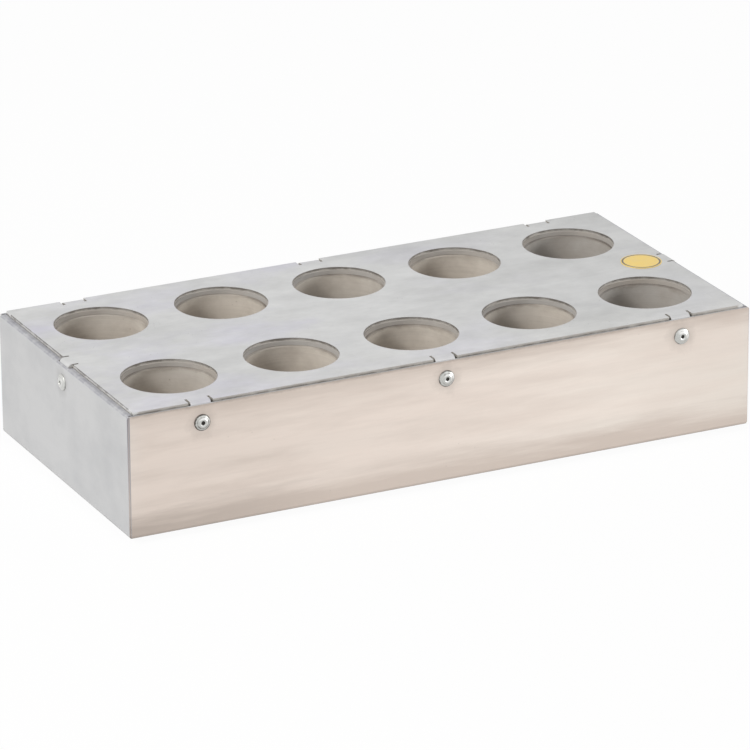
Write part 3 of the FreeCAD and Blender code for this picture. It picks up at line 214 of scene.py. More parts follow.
class HeaterStudio(bpy.types.PropertyGroup):
    """Camera and light."""

    camera_place: bpy.props.FloatVectorProperty(
        name="Camera place", description="Where the camera stands",
        subtype="TRANSLATION", size=3, default=(-1.09358, -2.26767, 0.98484))
    camera_turn: bpy.props.FloatProperty(
        name="Camera turn", description="Turn of the camera around the object",
        subtype="ANGLE", default=-0.4505)
    camera_lift: bpy.props.FloatProperty(
        name="Camera lift", description="Angle of the camera above level",
        subtype="ANGLE", default=0.3633)
    camera_roll: bpy.props.FloatProperty(
        name="Camera roll", description="Roll of the camera about its own axis",
        subtype="ANGLE", default=-0.0065)
    lens: bpy.props.FloatProperty(
        name="Lens", description="Focal length on a 36 mm sensor",
        unit="CAMERA", default=270.16)
    room_light: bpy.props.FloatProperty(
        name="Room light", description="Strength of the even light from all round", min=0, default=0.42)
    key_place: bpy.props.FloatVectorProperty(
        name="Key place", description="Where the large lamp hangs",
        subtype="TRANSLATION", size=3, default=(-1.9, -0.5, 1.5))
    key_power: bpy.props.FloatProperty(
        name="Key power", description="Power of the large lamp", unit="POWER", default=39)
    side_place: bpy.props.FloatVectorProperty(
        name="Side place", description="Where the lamp that glints on rims and domes stands",
        subtype="TRANSLATION", size=3, default=(1.9, -0.9, 0.48))
    side_power: bpy.props.FloatProperty(
        name="Side power", description="Power of the side lamp", unit="POWER", default=14)
    floor_glow: bpy.props.FloatProperty(
        name="Floor glow", description="How far the floor washes out to white", min=0, max=1, default=0.95)


# Shader building


def fill(socket, value):
    """Link a socket, or set a plain value."""
    if isinstance(value, bpy.types.NodeSocket):
        value.node.id_data.links.new(value, socket)
    elif socket.type == "RGBA" and len(value) == 3:
        socket.default_value = (*value, 1)
    else:
        socket.default_value = value


def add(tree, kind, **settings):
    """A new node with its settings."""
    node = tree.nodes.new(kind)
    for name, value in settings.items():
        setattr(node, name, value)
    return node


def maths(tree, operation, first, second=0.0):
    """The result of a Math node."""
    node = add(tree, "ShaderNodeMath", operation=operation)
    fill(node.inputs[0], first)
    fill(node.inputs[1], second)
    return node.outputs[0]


def times(first, second):
    """A value scaled by a number or by another value of the same tree."""
    return maths(first.node.id_data, "MULTIPLY", first, second)


def blend(tree, factor, first, second, mode="MIX"):
    """The first colour, with as much of the second as the factor says."""
    node = add(tree, "ShaderNodeMix", data_type="RGBA", blend_type=mode)
    fill(node.inputs[0], factor)
    fill(node.inputs[6], first)
    fill(node.inputs[7], second)
    return node.outputs[2]


def span(tree, value, low, high, to_low=0.0, to_high=1.0):
    """A value carried over from one range to another, and held at the ends."""
    node = add(tree, "ShaderNodeMapRange")
    for socket, setting in zip(node.inputs, (value, low, high, to_low, to_high)):
        fill(socket, setting)
    return node.outputs[0]


def stretched(tree, place, scale):
    """A place scaled along each axis."""
    node = add(tree, "ShaderNodeMapping")
    fill(node.inputs["Vector"], place)
    fill(node.inputs["Scale"], scale)
    return node.outputs["Vector"]


def noise(tree, place, scale, detail=3.0, rough=0.5):
    """Cloudy values between 0 and 1."""
    node = add(tree, "ShaderNodeTexNoise")
    for name, value in (("Vector", place), ("Scale", scale), ("Detail", detail), ("Roughness", rough)):
        fill(node.inputs[name], value)
    return node.outputs["Fac"]


def axes_of(tree, vector):
    """The parts of a vector, as the sockets X, Y and Z."""
    node = add(tree, "ShaderNodeSeparateXYZ")
    fill(node.inputs[0], vector)
    return node.outputs


def new_effect(name, inputs, outputs):
    """An empty shader group with named sockets."""
    tree = bpy.data.node_groups.new(name, "ShaderNodeTree")
    for title, kind, default in inputs:
        socket = tree.interface.new_socket(name=title, in_out="INPUT", socket_type=kind)
        if default is not None:
            socket.default_value = default
    for title, kind in outputs:
        tree.interface.new_socket(name=title, in_out="OUTPUT", socket_type=kind)
    return tree, add(tree, "NodeGroupInput").outputs, add(tree, "NodeGroupOutput").inputs


def effect(tree, name, **values):
    """Place a shader group in a material, with its own values."""
    node = add(tree, "ShaderNodeGroup", node_tree=bpy.data.node_groups[name])
    for title, value in values.items():
        fill(node.inputs[title.replace("_", " ")], value)
    return node.outputs


FLOAT, VECTOR = "NodeSocketFloat", "NodeSocketVector"


def make_grain_effect():
    """Long fine brush marks, with broader bands between them."""
    inputs = [("Place", VECTOR, None), ("Stretch", VECTOR, (11, 11, 1400))]
    tree, given, out = new_effect("Brushed grain", inputs, [("Marks", FLOAT), ("Bands", FLOAT)])
    fine = stretched(tree, given["Place"], given["Stretch"])
    fill(out["Marks"], span(tree, noise(tree, fine, 1.0, 4, 0.6), 0.3, 0.7))
    broad = add(tree, "ShaderNodeVectorMath", operation="SCALE")
    fill(broad.inputs[0], fine)
    fill(broad.inputs["Scale"], 0.14)
    fill(out["Bands"], span(tree, noise(tree, broad.outputs[0], 1.0, 3, 0.5), 0.3, 0.7))


def make_smear_effect():
    """Cloudy smears, drawn out one way."""
    inputs = [("Place", VECTOR, None), ("Stretch", VECTOR, (5, 5, 26)), ("Cover", FLOAT, 0.5)]
    tree, given, out = new_effect("Smears", inputs, [("Mask", FLOAT)])
    place = stretched(tree, given["Place"], given["Stretch"])
    cloud = noise(tree, place, 1.0, 5, 0.6)
    low = maths(tree, "SUBTRACT", 0.85, given["Cover"])
    fill(out["Mask"], span(tree, cloud, low, maths(tree, "ADD", low, 0.28)))


def make_band_effect():
    """A band on both sides of a level, with a ragged or soft edge."""
    inputs = [
        ("Height", FLOAT, 0), ("Level", FLOAT, 0), ("Reach", FLOAT, 0.001), ("Place", VECTOR, None),
        ("Tooth", FLOAT, 300), ("Raggedness", FLOAT, 0.7), ("Softness", FLOAT, 0.8)]
    tree, given, out = new_effect("Ragged band", inputs, [("Mask", FLOAT)])
    away = maths(tree, "ABSOLUTE", maths(tree, "SUBTRACT", given["Height"], given["Level"]))
    share = maths(tree, "DIVIDE", away, given["Reach"])
    torn = span(tree, noise(tree, given["Place"], given["Tooth"], 4, 0.65), 0.25, 0.75, -1.0, 1.0)
    ragged = maths(tree, "ADD", share, times(torn, given["Raggedness"]))
    inner = maths(tree, "SUBTRACT", 1.0, given["Softness"])
    fill(out["Mask"], span(tree, ragged, inner, 1.0, 1.0, 0.0))


def make_speck_effect():
    """Scattered small spots."""
    inputs = [("Place", VECTOR, None), ("Per metre", FLOAT, 220), ("Size", FLOAT, 0.12)]
    tree, given, out = new_effect("Specks", inputs, [("Mask", FLOAT)])
    cells = add(tree, "ShaderNodeTexVoronoi", feature="F1")
    fill(cells.inputs["Vector"], given["Place"])
    fill(cells.inputs["Scale"], given["Per metre"])
    kept = span(tree, noise(tree, given["Place"], 37, 2, 0.5), 0.5, 0.65)
    size = times(kept, given["Size"])
    fill(out["Mask"], span(tree, cells.outputs["Distance"], times(size, 0.6), size, 1.0, 0.0))


def make_scratch_effect():
    """Thin scratches that run two ways."""
    inputs = [("Place", VECTOR, None), ("Cover", FLOAT, 0.1)]
    tree, given, out = new_effect("Scratches", inputs, [("Mask", FLOAT)])
    marks = []
    for turn, stretch in ((0.35, (30, 900, 900)), (-0.8, (900, 45, 900))):
        node = add(tree, "ShaderNodeMapping")
        fill(node.inputs["Vector"], given["Place"])
        node.inputs["Rotation"].default_value = (0, 0, turn)
        node.inputs["Scale"].default_value = stretch
        line = noise(tree, node.outputs[0], 1.0, 2, 0.5)
        low = maths(tree, "SUBTRACT", 0.82, given["Cover"])
        marks.append(span(tree, line, low, maths(tree, "ADD", low, 0.04)))
    fill(out["Mask"], maths(tree, "MAXIMUM", *marks))


def make_skin_effect():
    """Fine pebbled skin of a moulding, and the wider unevenness below it."""
    inputs = [("Place", VECTOR, None), ("Grain", FLOAT, 3000)]
    tree, given, out = new_effect("Moulded skin", inputs, [("Height", FLOAT), ("Cloud", FLOAT)])
    fill(out["Height"], noise(tree, given["Place"], given["Grain"], 2, 0.5))
    fill(out["Cloud"], noise(tree, given["Place"], 120, 3, 0.5))


def make_edge_effect():
    """How near a point is to the sides of an upright box, from 0 inside to 1 at a side."""
    inputs = [
        ("Place", VECTOR, None), ("Centre", VECTOR, (0, 0, 0)), ("Half", VECTOR, (1, 1, 1)),
        ("Reach", FLOAT, 0.001)]
    tree, given, out = new_effect("Box edges", inputs, [("Ends", FLOAT), ("Sides", FLOAT)])
    offset = add(tree, "ShaderNodeVectorMath", operation="SUBTRACT")
    fill(offset.inputs[0], given["Place"])
    fill(offset.inputs[1], given["Centre"])
    away = add(tree, "ShaderNodeVectorMath", operation="ABSOLUTE")
    fill(away.inputs[0], offset.outputs[0])
    depth = add(tree, "ShaderNodeVectorMath", operation="SUBTRACT")
    fill(depth.inputs[0], given["Half"])
    fill(depth.inputs[1], away.outputs[0])
    axes = axes_of(tree, depth.outputs[0])
    fill(out["Ends"], span(tree, axes["X"], 0.0, given["Reach"], 1.0, 0.0))
    fill(out["Sides"], span(tree, axes["Y"], 0.0, given["Reach"], 1.0, 0.0))


def make_halo_effect():
    """A soft uneven darkening around a point. Flatten drops the axis that the darkened face looks along."""
    inputs = [
        ("Place", VECTOR, None), ("Centre", VECTOR, (0, 0, 0)), ("Flatten", VECTOR, (1, 0, 1)),
        ("Reach", FLOAT, 0.006)]
    tree, given, out = new_effect("Halo", inputs, [("Mask", FLOAT)])
    offset = add(tree, "ShaderNodeVectorMath", operation="SUBTRACT")
    fill(offset.inputs[0], given["Place"])
    fill(offset.inputs[1], given["Centre"])
    flat = add(tree, "ShaderNodeVectorMath", operation="MULTIPLY")
    fill(flat.inputs[0], offset.outputs[0])
    fill(flat.inputs[1], given["Flatten"])
    away = add(tree, "ShaderNodeVectorMath", operation="LENGTH")
    fill(away.inputs[0], flat.outputs[0])
    torn = span(tree, noise(tree, given["Place"], 190, 3, 0.6), 0.3, 0.7, 0.75, 1.25)
    share = times(maths(tree, "DIVIDE", away.outputs["Value"], given["Reach"]), torn)
    fill(out["Mask"], span(tree, share, 0.5, 1.0, 1.0, 0.0))


def new_surface(name, **settings):
    """A material with one Principled shader. Settings go on the shader's own sockets."""
    material = bpy.data.materials.new(name)
    material.use_nodes = True
    tree = material.node_tree
    shader = tree.nodes["Principled BSDF"]
    for title, value in settings.items():
        fill(shader.inputs[title.replace("_", " ")], value)
    place = add(tree, "ShaderNodeTexCoord").outputs["Object"]
    return material, tree, shader.inputs, place


def facing_of(tree):
    """How far the surface faces along each axis, without sign."""
    node = add(tree, "ShaderNodeVectorMath", operation="ABSOLUTE")
    fill(node.inputs[0], add(tree, "ShaderNodeTexCoord").outputs["Normal"])
    return axes_of(tree, node.outputs[0])


def bump(tree, inputs, height, depth, strength=1.0):
    """Raise the surface by a height from 0 to 1, whose depth is in metres."""
    node = add(tree, "ShaderNodeBump")
    fill(node.inputs["Height"], height)
    node.inputs["Distance"].default_value = depth
    node.inputs["Strength"].default_value = strength
    fill(inputs["Normal"], node.outputs[0])


def wear(material, *nodes):
    """Give CAD nodes a material."""
    for node in nodes:
        for slot in frame["nodes"][node].material_slots:
            slot.material = material


# Materials


def rivet_columns():
    """Where the rivets stand along the long walls: at the first, middle and last column of wells."""
    columns = sorted({round(spot.x, 6) for spot in well_spots()})
    return columns[0], columns[len(columns) // 2], columns[-1]


def wall_steel(steel):
    """Brushed stainless of the tray: warm and streaked on the long walls, grey and clouded elsewhere. The two
    tones are one steel: painted warm reflection and painted light on the long walls, painted shade on the ends.
    """
    material, tree, shader, place = new_surface("wall_steel", Metallic=0.75, Specular_IOR_Level=0.4)
    low, high = corners_of("casing_tray")
    centre, half = (low + high) / 2, (high - low) / 2
    x, y, z = axes_of(tree, place)
    across, up = facing_of(tree)[1:]
    # Painted light and shade: the warm, brighter colours on the long walls, the grey, darker ones on the ends,
    # base and lips, and more of them towards the rear
    grey = span(tree, across, 0.4, 0.7, 1.0, 0.0)
    grey = maths(tree, "MAXIMUM", grey, span(tree, y, centre.y, high.y, 0.0, 0.6))
    stretch = (1 / steel.grain_length, 1 / steel.grain_length, 1 / steel.grain_width)
    grain = effect(tree, "Brushed grain", Place=place, Stretch=stretch)
    smear = effect(tree, "Smears", Place=place, Stretch=(16, 16, 120), Cover=0.44)["Mask"]
    sheen = effect(tree, "Smears", Place=place, Stretch=(5, 5, 30), Cover=0.55)["Mask"]
    cloud = effect(tree, "Smears", Place=place, Stretch=(40, 32, 40), Cover=0.45)["Mask"]
    band_place = stretched(tree, place, (12, 12, 130))
    # Dull band along the foot: a painted reflection of the floor's shade near the object
    foot = effect(
        tree, "Ragged band", Height=z, Level=low.z, Reach=steel.dull_height, Place=band_place, Tooth=1.0,
        Raggedness=0.4, Softness=0.65)["Mask"]
    head = effect(
        tree, "Ragged band", Height=z, Level=high.z, Reach=steel.dull_height, Place=band_place,
        Tooth=1.0, Raggedness=0.4, Softness=1.0)["Mask"]
    rim = effect(
        tree, "Ragged band", Height=z, Level=high.z, Reach=0.0014, Place=place, Tooth=260,
        Raggedness=0.35, Softness=0.8)["Mask"]
    # Front and rear walls: painted sheen paler to the right and painted shade darker to the left, smeared, with a
    # painted reflection of the floor's shade as a dull band at the foot, and dull at the head
    rightward = span(tree, x, low.x, high.x)
    # Painted sheen: paler towards the right
    warm = blend(tree, times(sheen, rightward), tuple(steel.wall_colour), tuple(steel.wall_pale))
    # Painted shade: darker towards the left
    warm = blend(tree, span(tree, rightward, 0.0, 0.8, 0.4, 0.0), warm, tuple(steel.wall_stain))
    warm = blend(tree, times(smear, span(tree, rightward, 0, 1, 0.62, 0.2)), warm, tuple(steel.wall_stain))
    near = effect(tree, "Box edges", Place=place, Centre=centre, Half=half, Reach=0.012)
    # Painted highlight: lighter towards the top near the long walls' ends, where the corners bend
    corner_highlight = times(times(near["Ends"], near["Ends"]), span(tree, z, low.z, high.z, 0.0, 0.3))
    warm = blend(tree, corner_highlight, warm, tuple(steel.bare_edge))
    warm = blend(tree, span(tree, rightward, 0.7, 1.0, 0.0, 0.32), warm, tuple(steel.wall_stain))
    # Painted reflection of the floor's shade along the foot, darkest at the left
    warm = blend(tree, times(foot, 0.9), warm, tuple(steel.wall_stain))
    warm = blend(tree, times(foot, span(tree, rightward, 0.0, 0.35, 0.28, 0.0)), warm, tuple(steel.grime))
    warm = blend(tree, times(times(head, head), 0.95), warm, tuple(steel.wall_stain))
    # Painted shade: a thin dark line along the top edge, in the gap under the plate's edge
    warm = blend(tree, times(rim, span(tree, rightward, 0.75, 1.0, 0.3, 0.1)), warm, tuple(steel.grime))
    warm = blend(tree, 1.0, warm, span(tree, grain["Bands"], 0, 1, 0.97, 1.025), "MULTIPLY")
    warm = blend(tree, 1.0, warm, span(tree, grain["Marks"], 0, 1, 0.988, 1.01), "MULTIPLY")
    # End walls, base and lips: clouded, with painted shade on the rounded crests, and darker lips near the ends
    clouded = blend(tree, cloud, tuple(steel.end_colour), tuple(steel.end_dull))
    # Painted shade: the half-turned faces of the rounded upper edges are darkened
    crest = times(span(tree, up, 0.25, 0.55), span(tree, up, 0.7, 0.92, 1.0, 0.0))
    patch_strength = span(tree, noise(tree, place, 330, 4, 0.6), 0.35, 0.6, 0.25, 0.75)
    crest = times(times(crest, patch_strength), span(tree, z, centre.z, high.z))
    clouded = blend(tree, crest, clouded, tuple(steel.seam))
    lip = times(times(span(tree, up, 0.75, 0.95), span(tree, near["Ends"], 0.3, 0.5)), patch_strength)
    lip = times(lip, span(tree, z, centre.z, high.z))
    clouded = blend(tree, lip, clouded, tuple(steel.seam))
    colour = blend(tree, grey, warm, clouded)
    # On all walls: painted shade at the lower fold, dark corner seams, and darker halos round the rivets
    # Painted shade: a dark line along the lower fold, where the wall turns under
    fold = effect(
        tree, "Ragged band", Height=z, Level=low.z, Reach=0.0018, Place=place, Tooth=60,
        Raggedness=0.15, Softness=0.8)["Mask"]
    colour = blend(tree, times(fold, 0.34), colour, tuple(steel.grime))
    seam = effect(tree, "Box edges", Place=place, Centre=centre, Half=half, Reach=0.0014)
    open_seam = span(tree, times(seam["Ends"], seam["Sides"]), 0.2, 0.4)
    lasting = times(span(tree, z, low.z, high.z, 0.1, 1.0), span(tree, rightward, 0, 1, 1.0, 0.25))
    colour = blend(tree, times(open_seam, lasting), colour, tuple(steel.seam))
    level = middle("rivet_mandrels").z
    # Darker halos round the rivets
    rivet_halos = [
        effect(tree, "Halo", Place=place, Centre=(column, 0, level), Flatten=(1, 0, 1), Reach=0.0085)["Mask"]
        for column in rivet_columns()]
    rivet_halos.append(effect(
        tree, "Halo", Place=place, Centre=(0, centre.y, level), Flatten=(0, 1, 1), Reach=0.008)["Mask"])
    for dimmer in rivet_halos:
        colour = blend(tree, times(dimmer, 0.16), colour, tuple(steel.grime))
    spots = effect(tree, "Specks", Place=place, Per_metre=230, Size=0.10)["Mask"]
    colour = blend(tree, times(spots, 0.12), colour, tuple(steel.grime))
    fill(shader["Base Color"], colour)
    rough = span(tree, grain["Bands"], 0, 1, 0.36, 0.44)
    rough = maths(tree, "ADD", rough, times(smear, 0.06))
    fill(shader["Roughness"], maths(tree, "ADD", rough, times(grey, 0.12)))
    bump(tree, shader, grain["Marks"], 0.00002, 0.3)
    return material


def plate_steel(steel):
    """Rolled stainless of the top plate: tinted and clouded, scratched, with soiled sheared edges that also take
    painted shade of the gap along the walls, a painted highlight along the front edge, and painted shade at the
    top of the holes.
    """
    material, tree, shader, place = new_surface("plate_steel", Metallic=0.75, Specular_IOR_Level=0.4)
    low, high = corners_of("top_plate")
    x, y, z = axes_of(tree, place)
    grain = effect(tree, "Brushed grain", Place=place, Stretch=(10, 620, 620))
    tint = effect(tree, "Smears", Place=place, Stretch=(13, 22, 22), Cover=0.38)["Mask"]
    turned = stretched(tree, place, (1, -1, 1))
    cloud = effect(tree, "Smears", Place=turned, Stretch=(9, 19, 19), Cover=0.4)["Mask"]
    leftward = span(tree, x, low.x, high.x, 0.9, 0.35)
    colour = blend(tree, times(tint, leftward), tuple(steel.plate_colour), tuple(steel.plate_tint))
    rightward = span(tree, x, low.x, high.x, 0.3, 1.0)
    colour = blend(tree, span(tree, x, 0.0, high.x, 0.0, 0.45), colour, tuple(steel.plate_dull))
    colour = blend(tree, times(cloud, rightward), colour, tuple(steel.plate_dull))
    # Painted highlight: lighter along the plate's front edge
    colour = blend(tree, span(tree, y, low.y, low.y + 0.03, 0.14, 0.0), colour, tuple(steel.bare_edge))
    colour = blend(tree, 1.0, colour, span(tree, grain["Marks"], 0, 1, 0.99, 1.008), "MULTIPLY")
    mottle = noise(tree, stretched(tree, place, (1, 1.6, 1)), 55, 5, 0.62)
    colour = blend(tree, 1.0, colour, span(tree, mottle, 0.3, 0.7, 0.915, 1.09), "MULTIPLY")
    lines = effect(tree, "Scratches", Place=place, Cover=0.10)["Mask"]
    colour = blend(tree, times(lines, 0.15), colour, tuple(steel.bare_edge))
    spots = effect(tree, "Specks", Place=place, Per_metre=300, Size=0.11)["Mask"]
    colour = blend(tree, times(spots, 0.35), colour, tuple(steel.grime))
    # Sheared edges, with painted shade at the top of the holes, under the burr
    upright = span(tree, facing_of(tree)[2], 0.05, 0.2, 1.0, 0.0)
    near = effect(
        tree, "Box edges", Place=place, Centre=(low + high) / 2, Half=(high - low) / 2, Reach=0.006)
    sheared = blend(tree, span(tree, near["Ends"], 0.1, 0.3), (0.52, 0.50, 0.47), (0.74, 0.74, 0.73))
    colour = blend(tree, upright, colour, sheared)
    lip = effect(tree, "Ragged band", Height=z, Level=high.z, Reach=0.0012, Place=place, Tooth=150)["Mask"]
    inside = span(tree, near["Sides"], 0.0, 0.1, 0.75, 0.0)
    # Painted shade: a thin dark line at the top of each hole's wall
    colour = blend(tree, times(times(lip, upright), inside), colour, tuple(steel.grime))
    # Soiling and painted shade of the gap along the long edges, but not on the tabs, and along the ends
    torn = span(tree, noise(tree, stretched(tree, place, (1, 1, 3)), 160, 5, 0.7), 0.36, 0.6, 0.1, 0.72)
    dirty_and_shaded = times(span(tree, near["Sides"], 0.5, 0.55), span(tree, y, low.y, high.y, 1.0, 0.3))
    dirty_and_shaded = times(dirty_and_shaded, span(tree, x, high.x * 0.8, high.x * 0.95, 1.0, 0.2))
    dirty_and_shaded = times(dirty_and_shaded, span(tree, z, high.z - 0.0011, high.z - 0.0004, 1.0, 0.25))
    for column in rivet_columns():
        aside = maths(tree, "ABSOLUTE", maths(tree, "SUBTRACT", x, column))
        dirty_and_shaded = times(dirty_and_shaded, span(tree, aside, steel.tab_width * 0.45, steel.tab_width * 0.5))
    dirty_and_shaded = maths(tree, "MAXIMUM", dirty_and_shaded, span(tree, near["Ends"], 0.88, 0.94, 0.0, 0.75))
    colour = blend(tree, times(times(dirty_and_shaded, upright), torn), colour, tuple(steel.grime))
    fill(shader["Base Color"], colour)
    rough = span(tree, cloud, 0, 1, 0.40, 0.54)
    fill(shader["Roughness"], maths(tree, "ADD", rough, times(upright, 0.2)))
    bump(tree, shader, grain["Marks"], 0.00001, 0.4)
    return material


def rolled_edge(steel):
    """Burr round the plate's holes: dull, and soiled in stretches."""
    material, tree, shader, place = new_surface("rolled_edge", Metallic=0.3, Specular_IOR_Level=0.15)
    stretches = span(tree, noise(tree, place, 70, 4, 0.6), 0.4, 0.6)
    dull = blend(tree, 0.5, tuple(steel.plate_dull), tuple(steel.grime))
    fill(shader["Base Color"], blend(tree, stretches, dull, tuple(steel.plate_dull)))
    fill(shader["Roughness"], span(tree, stretches, 0, 1, 0.75, 0.6))
    return material


def rivet_place(tree, place):
    """Whether a rivet is one of those on the ends, and how far to the right it stands."""
    x = axes_of(tree, place)[0]
    last = max(rivet_columns())
    at_end = span(tree, maths(tree, "ABSOLUTE", x), last * 1.1, last * 1.15)
    return at_end, span(tree, x, -last, last)


def rivet_metal(fasteners):
    """Set aluminium rivet: painted highlight on faces that lean up and to the right, paler heads on the end walls,
    soiling in clouds and more to the left, and painted shade in its fold, at its edge and in its bore.
    """
    material, tree, shader, place = new_surface("rivet_metal", Metallic=0.85)
    grime = add(tree, "ShaderNodeAttribute", attribute_name="grime").outputs["Fac"]
    cloud = noise(tree, place, 420, 3, 0.6)
    at_end, rightward = rivet_place(tree, place)
    # Painted shade from the head's profile, with soiling in clouds, more to the left and less on the end walls
    dirty_and_shaded = maths(tree, "ADD", grime, span(tree, cloud, 0.3, 0.7, -0.22, 0.22))
    dirty_and_shaded = maths(tree, "ADD", dirty_and_shaded, span(tree, rightward, 0, 1, 0.1, -0.2))
    dirty_and_shaded = times(dirty_and_shaded, span(tree, at_end, 0, 1, 1.0, 0.55))
    normal = axes_of(tree, add(tree, "ShaderNodeTexCoord").outputs["Normal"])
    # Painted highlight: faces that lean up and to the right are lighter, and the end rivets paler
    lean = maths(tree, "ADD", times(normal["X"], 0.6), times(normal["Z"], 0.8))
    highlighted = maths(tree, "MAXIMUM", span(tree, lean, -0.05, 0.25), times(at_end, 0.35))
    highlighted = times(highlighted, span(tree, dirty_and_shaded, 0.2, 0.5, 1.0, 0.0))
    colour = blend(tree, highlighted, tuple(fasteners.rivet_dull), tuple(fasteners.rivet_bright))
    colour = blend(tree, span(tree, dirty_and_shaded, 0.55, 0.95), colour, tuple(fasteners.rivet_grime))
    fill(shader["Base Color"], colour)
    fill(shader["Roughness"], span(tree, dirty_and_shaded, 0.0, 1.0, 0.24, 0.6))
    bump(tree, shader, cloud, 0.00004, 0.5)
    return material


def dull_stem():
    """Broken end of the rivet's stem, painted near black as the shade in the rivet's bore, and paler on the end
    walls.
    """
    material, tree, shader, place = new_surface("dull_stem", Metallic=0.8)
    torn = noise(tree, place, 2600, 4, 0.7)
    at_end = rivet_place(tree, place)[0]
    dark = blend(tree, at_end, (0.03, 0.028, 0.026), (0.25, 0.25, 0.24))
    pale = blend(tree, at_end, (0.15, 0.14, 0.13), (0.50, 0.50, 0.49))
    fill(shader["Base Color"], blend(tree, torn, dark, pale))
    fill(shader["Roughness"], span(tree, torn, 0, 1, 0.5, 0.8))
    bump(tree, shader, torn, 0.0001, 0.8)
    return material


# Packed soiling on the ledge under a well's mouth, also painting the shade under the gasket
DEEP_DIRT_AND_SHADE = (0.09, 0.075, 0.062)


def well_metal(wells):
    """Oxidised aluminium: faint tool rings, a brown ring under the mouth, scale in patches and crumbs, and painted
    shade deeper down.
    """
    material, tree, shader, place = new_surface("well_metal", Metallic=0.1, Specular_IOR_Level=0.3)
    top = corners_of("heating_block")[1].z
    axes = axes_of(tree, place)
    x, z = axes["X"], axes["Z"]
    rings = noise(tree, stretched(tree, place, (20, 20, 1500)), 1.0, 2, 0.5)
    scale = effect(tree, "Smears", Place=place, Stretch=(55, 55, 75), Cover=0.42)["Mask"]
    last = max(rivet_columns())
    patchy = span(tree, noise(tree, place, 15, 1), 0.45, 0.8)
    cool = maths(tree, "MAXIMUM", span(tree, x, last * 0.7, last * 0.8), patchy)
    tone = blend(tree, times(cool, 0.8), tuple(wells.bore_colour), tuple(wells.bore_cool))
    colour = blend(tree, times(scale, 0.4), tone, tuple(wells.bore_dark))
    mouth = effect(
        tree, "Ragged band", Height=z, Level=top, Reach=0.0022, Place=place, Tooth=75, Raggedness=0.9)["Mask"]
    per_well_amount = span(tree, noise(tree, stretched(tree, place, (1, 1, 0)), 21, 1), 0.44, 0.56)
    colour = blend(tree, times(mouth, span(tree, per_well_amount, 0, 1, 0.15, 0.5)), colour, tuple(wells.bore_dark))
    ledge = span(tree, facing_of(tree)[2], 0.2, 0.5)
    dirt_and_shade = times(
        span(tree, noise(tree, place, 60, 3), 0.35, 0.6, 0.6, 1.0), span(tree, per_well_amount, 0, 1, 0.4, 0.7))
    ledge = times(times(ledge, dirt_and_shade), span(tree, z, top - 0.002, top - 0.0015))
    # Partly soiling, partly painted shade under the gasket, on the ledge below the mouth
    colour = blend(tree, ledge, colour, DEEP_DIRT_AND_SHADE)
    # Painted shade: darker deeper down the well, from 5 mm to 22 mm below the block's top
    colour = blend(tree, span(tree, z, top - 0.022, top - 0.005, 0.55, 0.0), colour, tuple(wells.bore_dark))
    colour = blend(tree, 1.0, colour, span(tree, rings, 0.3, 0.7, 0.96, 1.03), "MULTIPLY")
    spots = effect(tree, "Specks", Place=place, Per_metre=300, Size=0.15)["Mask"]
    colour = blend(tree, times(spots, 0.6), colour, tuple(wells.bore_dark))
    fill(shader["Base Color"], colour)
    fill(shader["Roughness"], span(tree, scale, 0, 1, 0.55, 0.75))
    bump(tree, shader, rings, 0.00004, 0.5)
    return material


def soft_sheet(name, pale, dark, grain, rough):
    """Fibrous or rubbery sheet."""
    material, tree, shader, place = new_surface(name)
    skin = effect(tree, "Moulded skin", Place=place, Grain=grain)
    fill(shader["Base Color"], blend(tree, skin["Cloud"], dark, pale))
    fill(shader["Roughness"], span(tree, skin["Height"], 0, 1, rough - 0.1, rough + 0.1))
    bump(tree, shader, skin["Height"], 0.0001, 0.7)
    return material


def gasket_sheet():
    """Pressed fibre between plate and block: grey, browned by heat in places."""
    material, tree, shader, place = new_surface("gasket_sheet")
    skin = effect(tree, "Moulded skin", Place=place, Grain=1500)
    browned = span(tree, noise(tree, stretched(tree, place, (1, -1, 1)), 17, 2), 0.42, 0.6)
    tone = blend(tree, browned, (0.485, 0.475, 0.46), (0.505, 0.455, 0.40))
    fill(shader["Base Color"], blend(tree, skin["Cloud"], tone, (0.40, 0.375, 0.35)))
    fill(shader["Roughness"], span(tree, skin["Height"], 0, 1, 0.65, 0.85))
    bump(tree, shader, skin["Height"], 0.0001, 0.7)
    return material


def moulding(name, colour, rough, grain=3200, depth=0.00004):
    """Moulded plastic with a fine skin."""
    material, tree, shader, place = new_surface(name)
    skin = effect(tree, "Moulded skin", Place=place, Grain=grain)
    light = tuple(min(1.0, channel * 1.35 + 0.004) for channel in colour)
    fill(shader["Base Color"], blend(tree, skin["Cloud"], colour, light))
    fill(shader["Roughness"], span(tree, skin["Cloud"], 0.3, 0.7, rough - 0.06, rough + 0.06))
    bump(tree, shader, skin["Height"], depth, 0.6)
    return material


def plated(name, colour, dull, rough):
    """Plated metal, clouded and marked by handling."""
    material, tree, shader, place = new_surface(name, Metallic=1.0)
    cloud = effect(tree, "Smears", Place=place, Stretch=(160, 160, 160), Cover=0.5)["Mask"]
    lines = effect(tree, "Scratches", Place=place, Cover=0.16)["Mask"]
    tone = blend(tree, cloud, colour, dull)
    fill(shader["Base Color"], blend(tree, times(lines, 0.3), tone, (0.85, 0.85, 0.84)))
    fill(shader["Roughness"], span(tree, cloud, 0, 1, rough, rough + 0.18))
    bump(tree, shader, cloud, 0.00002, 0.5)
    return material


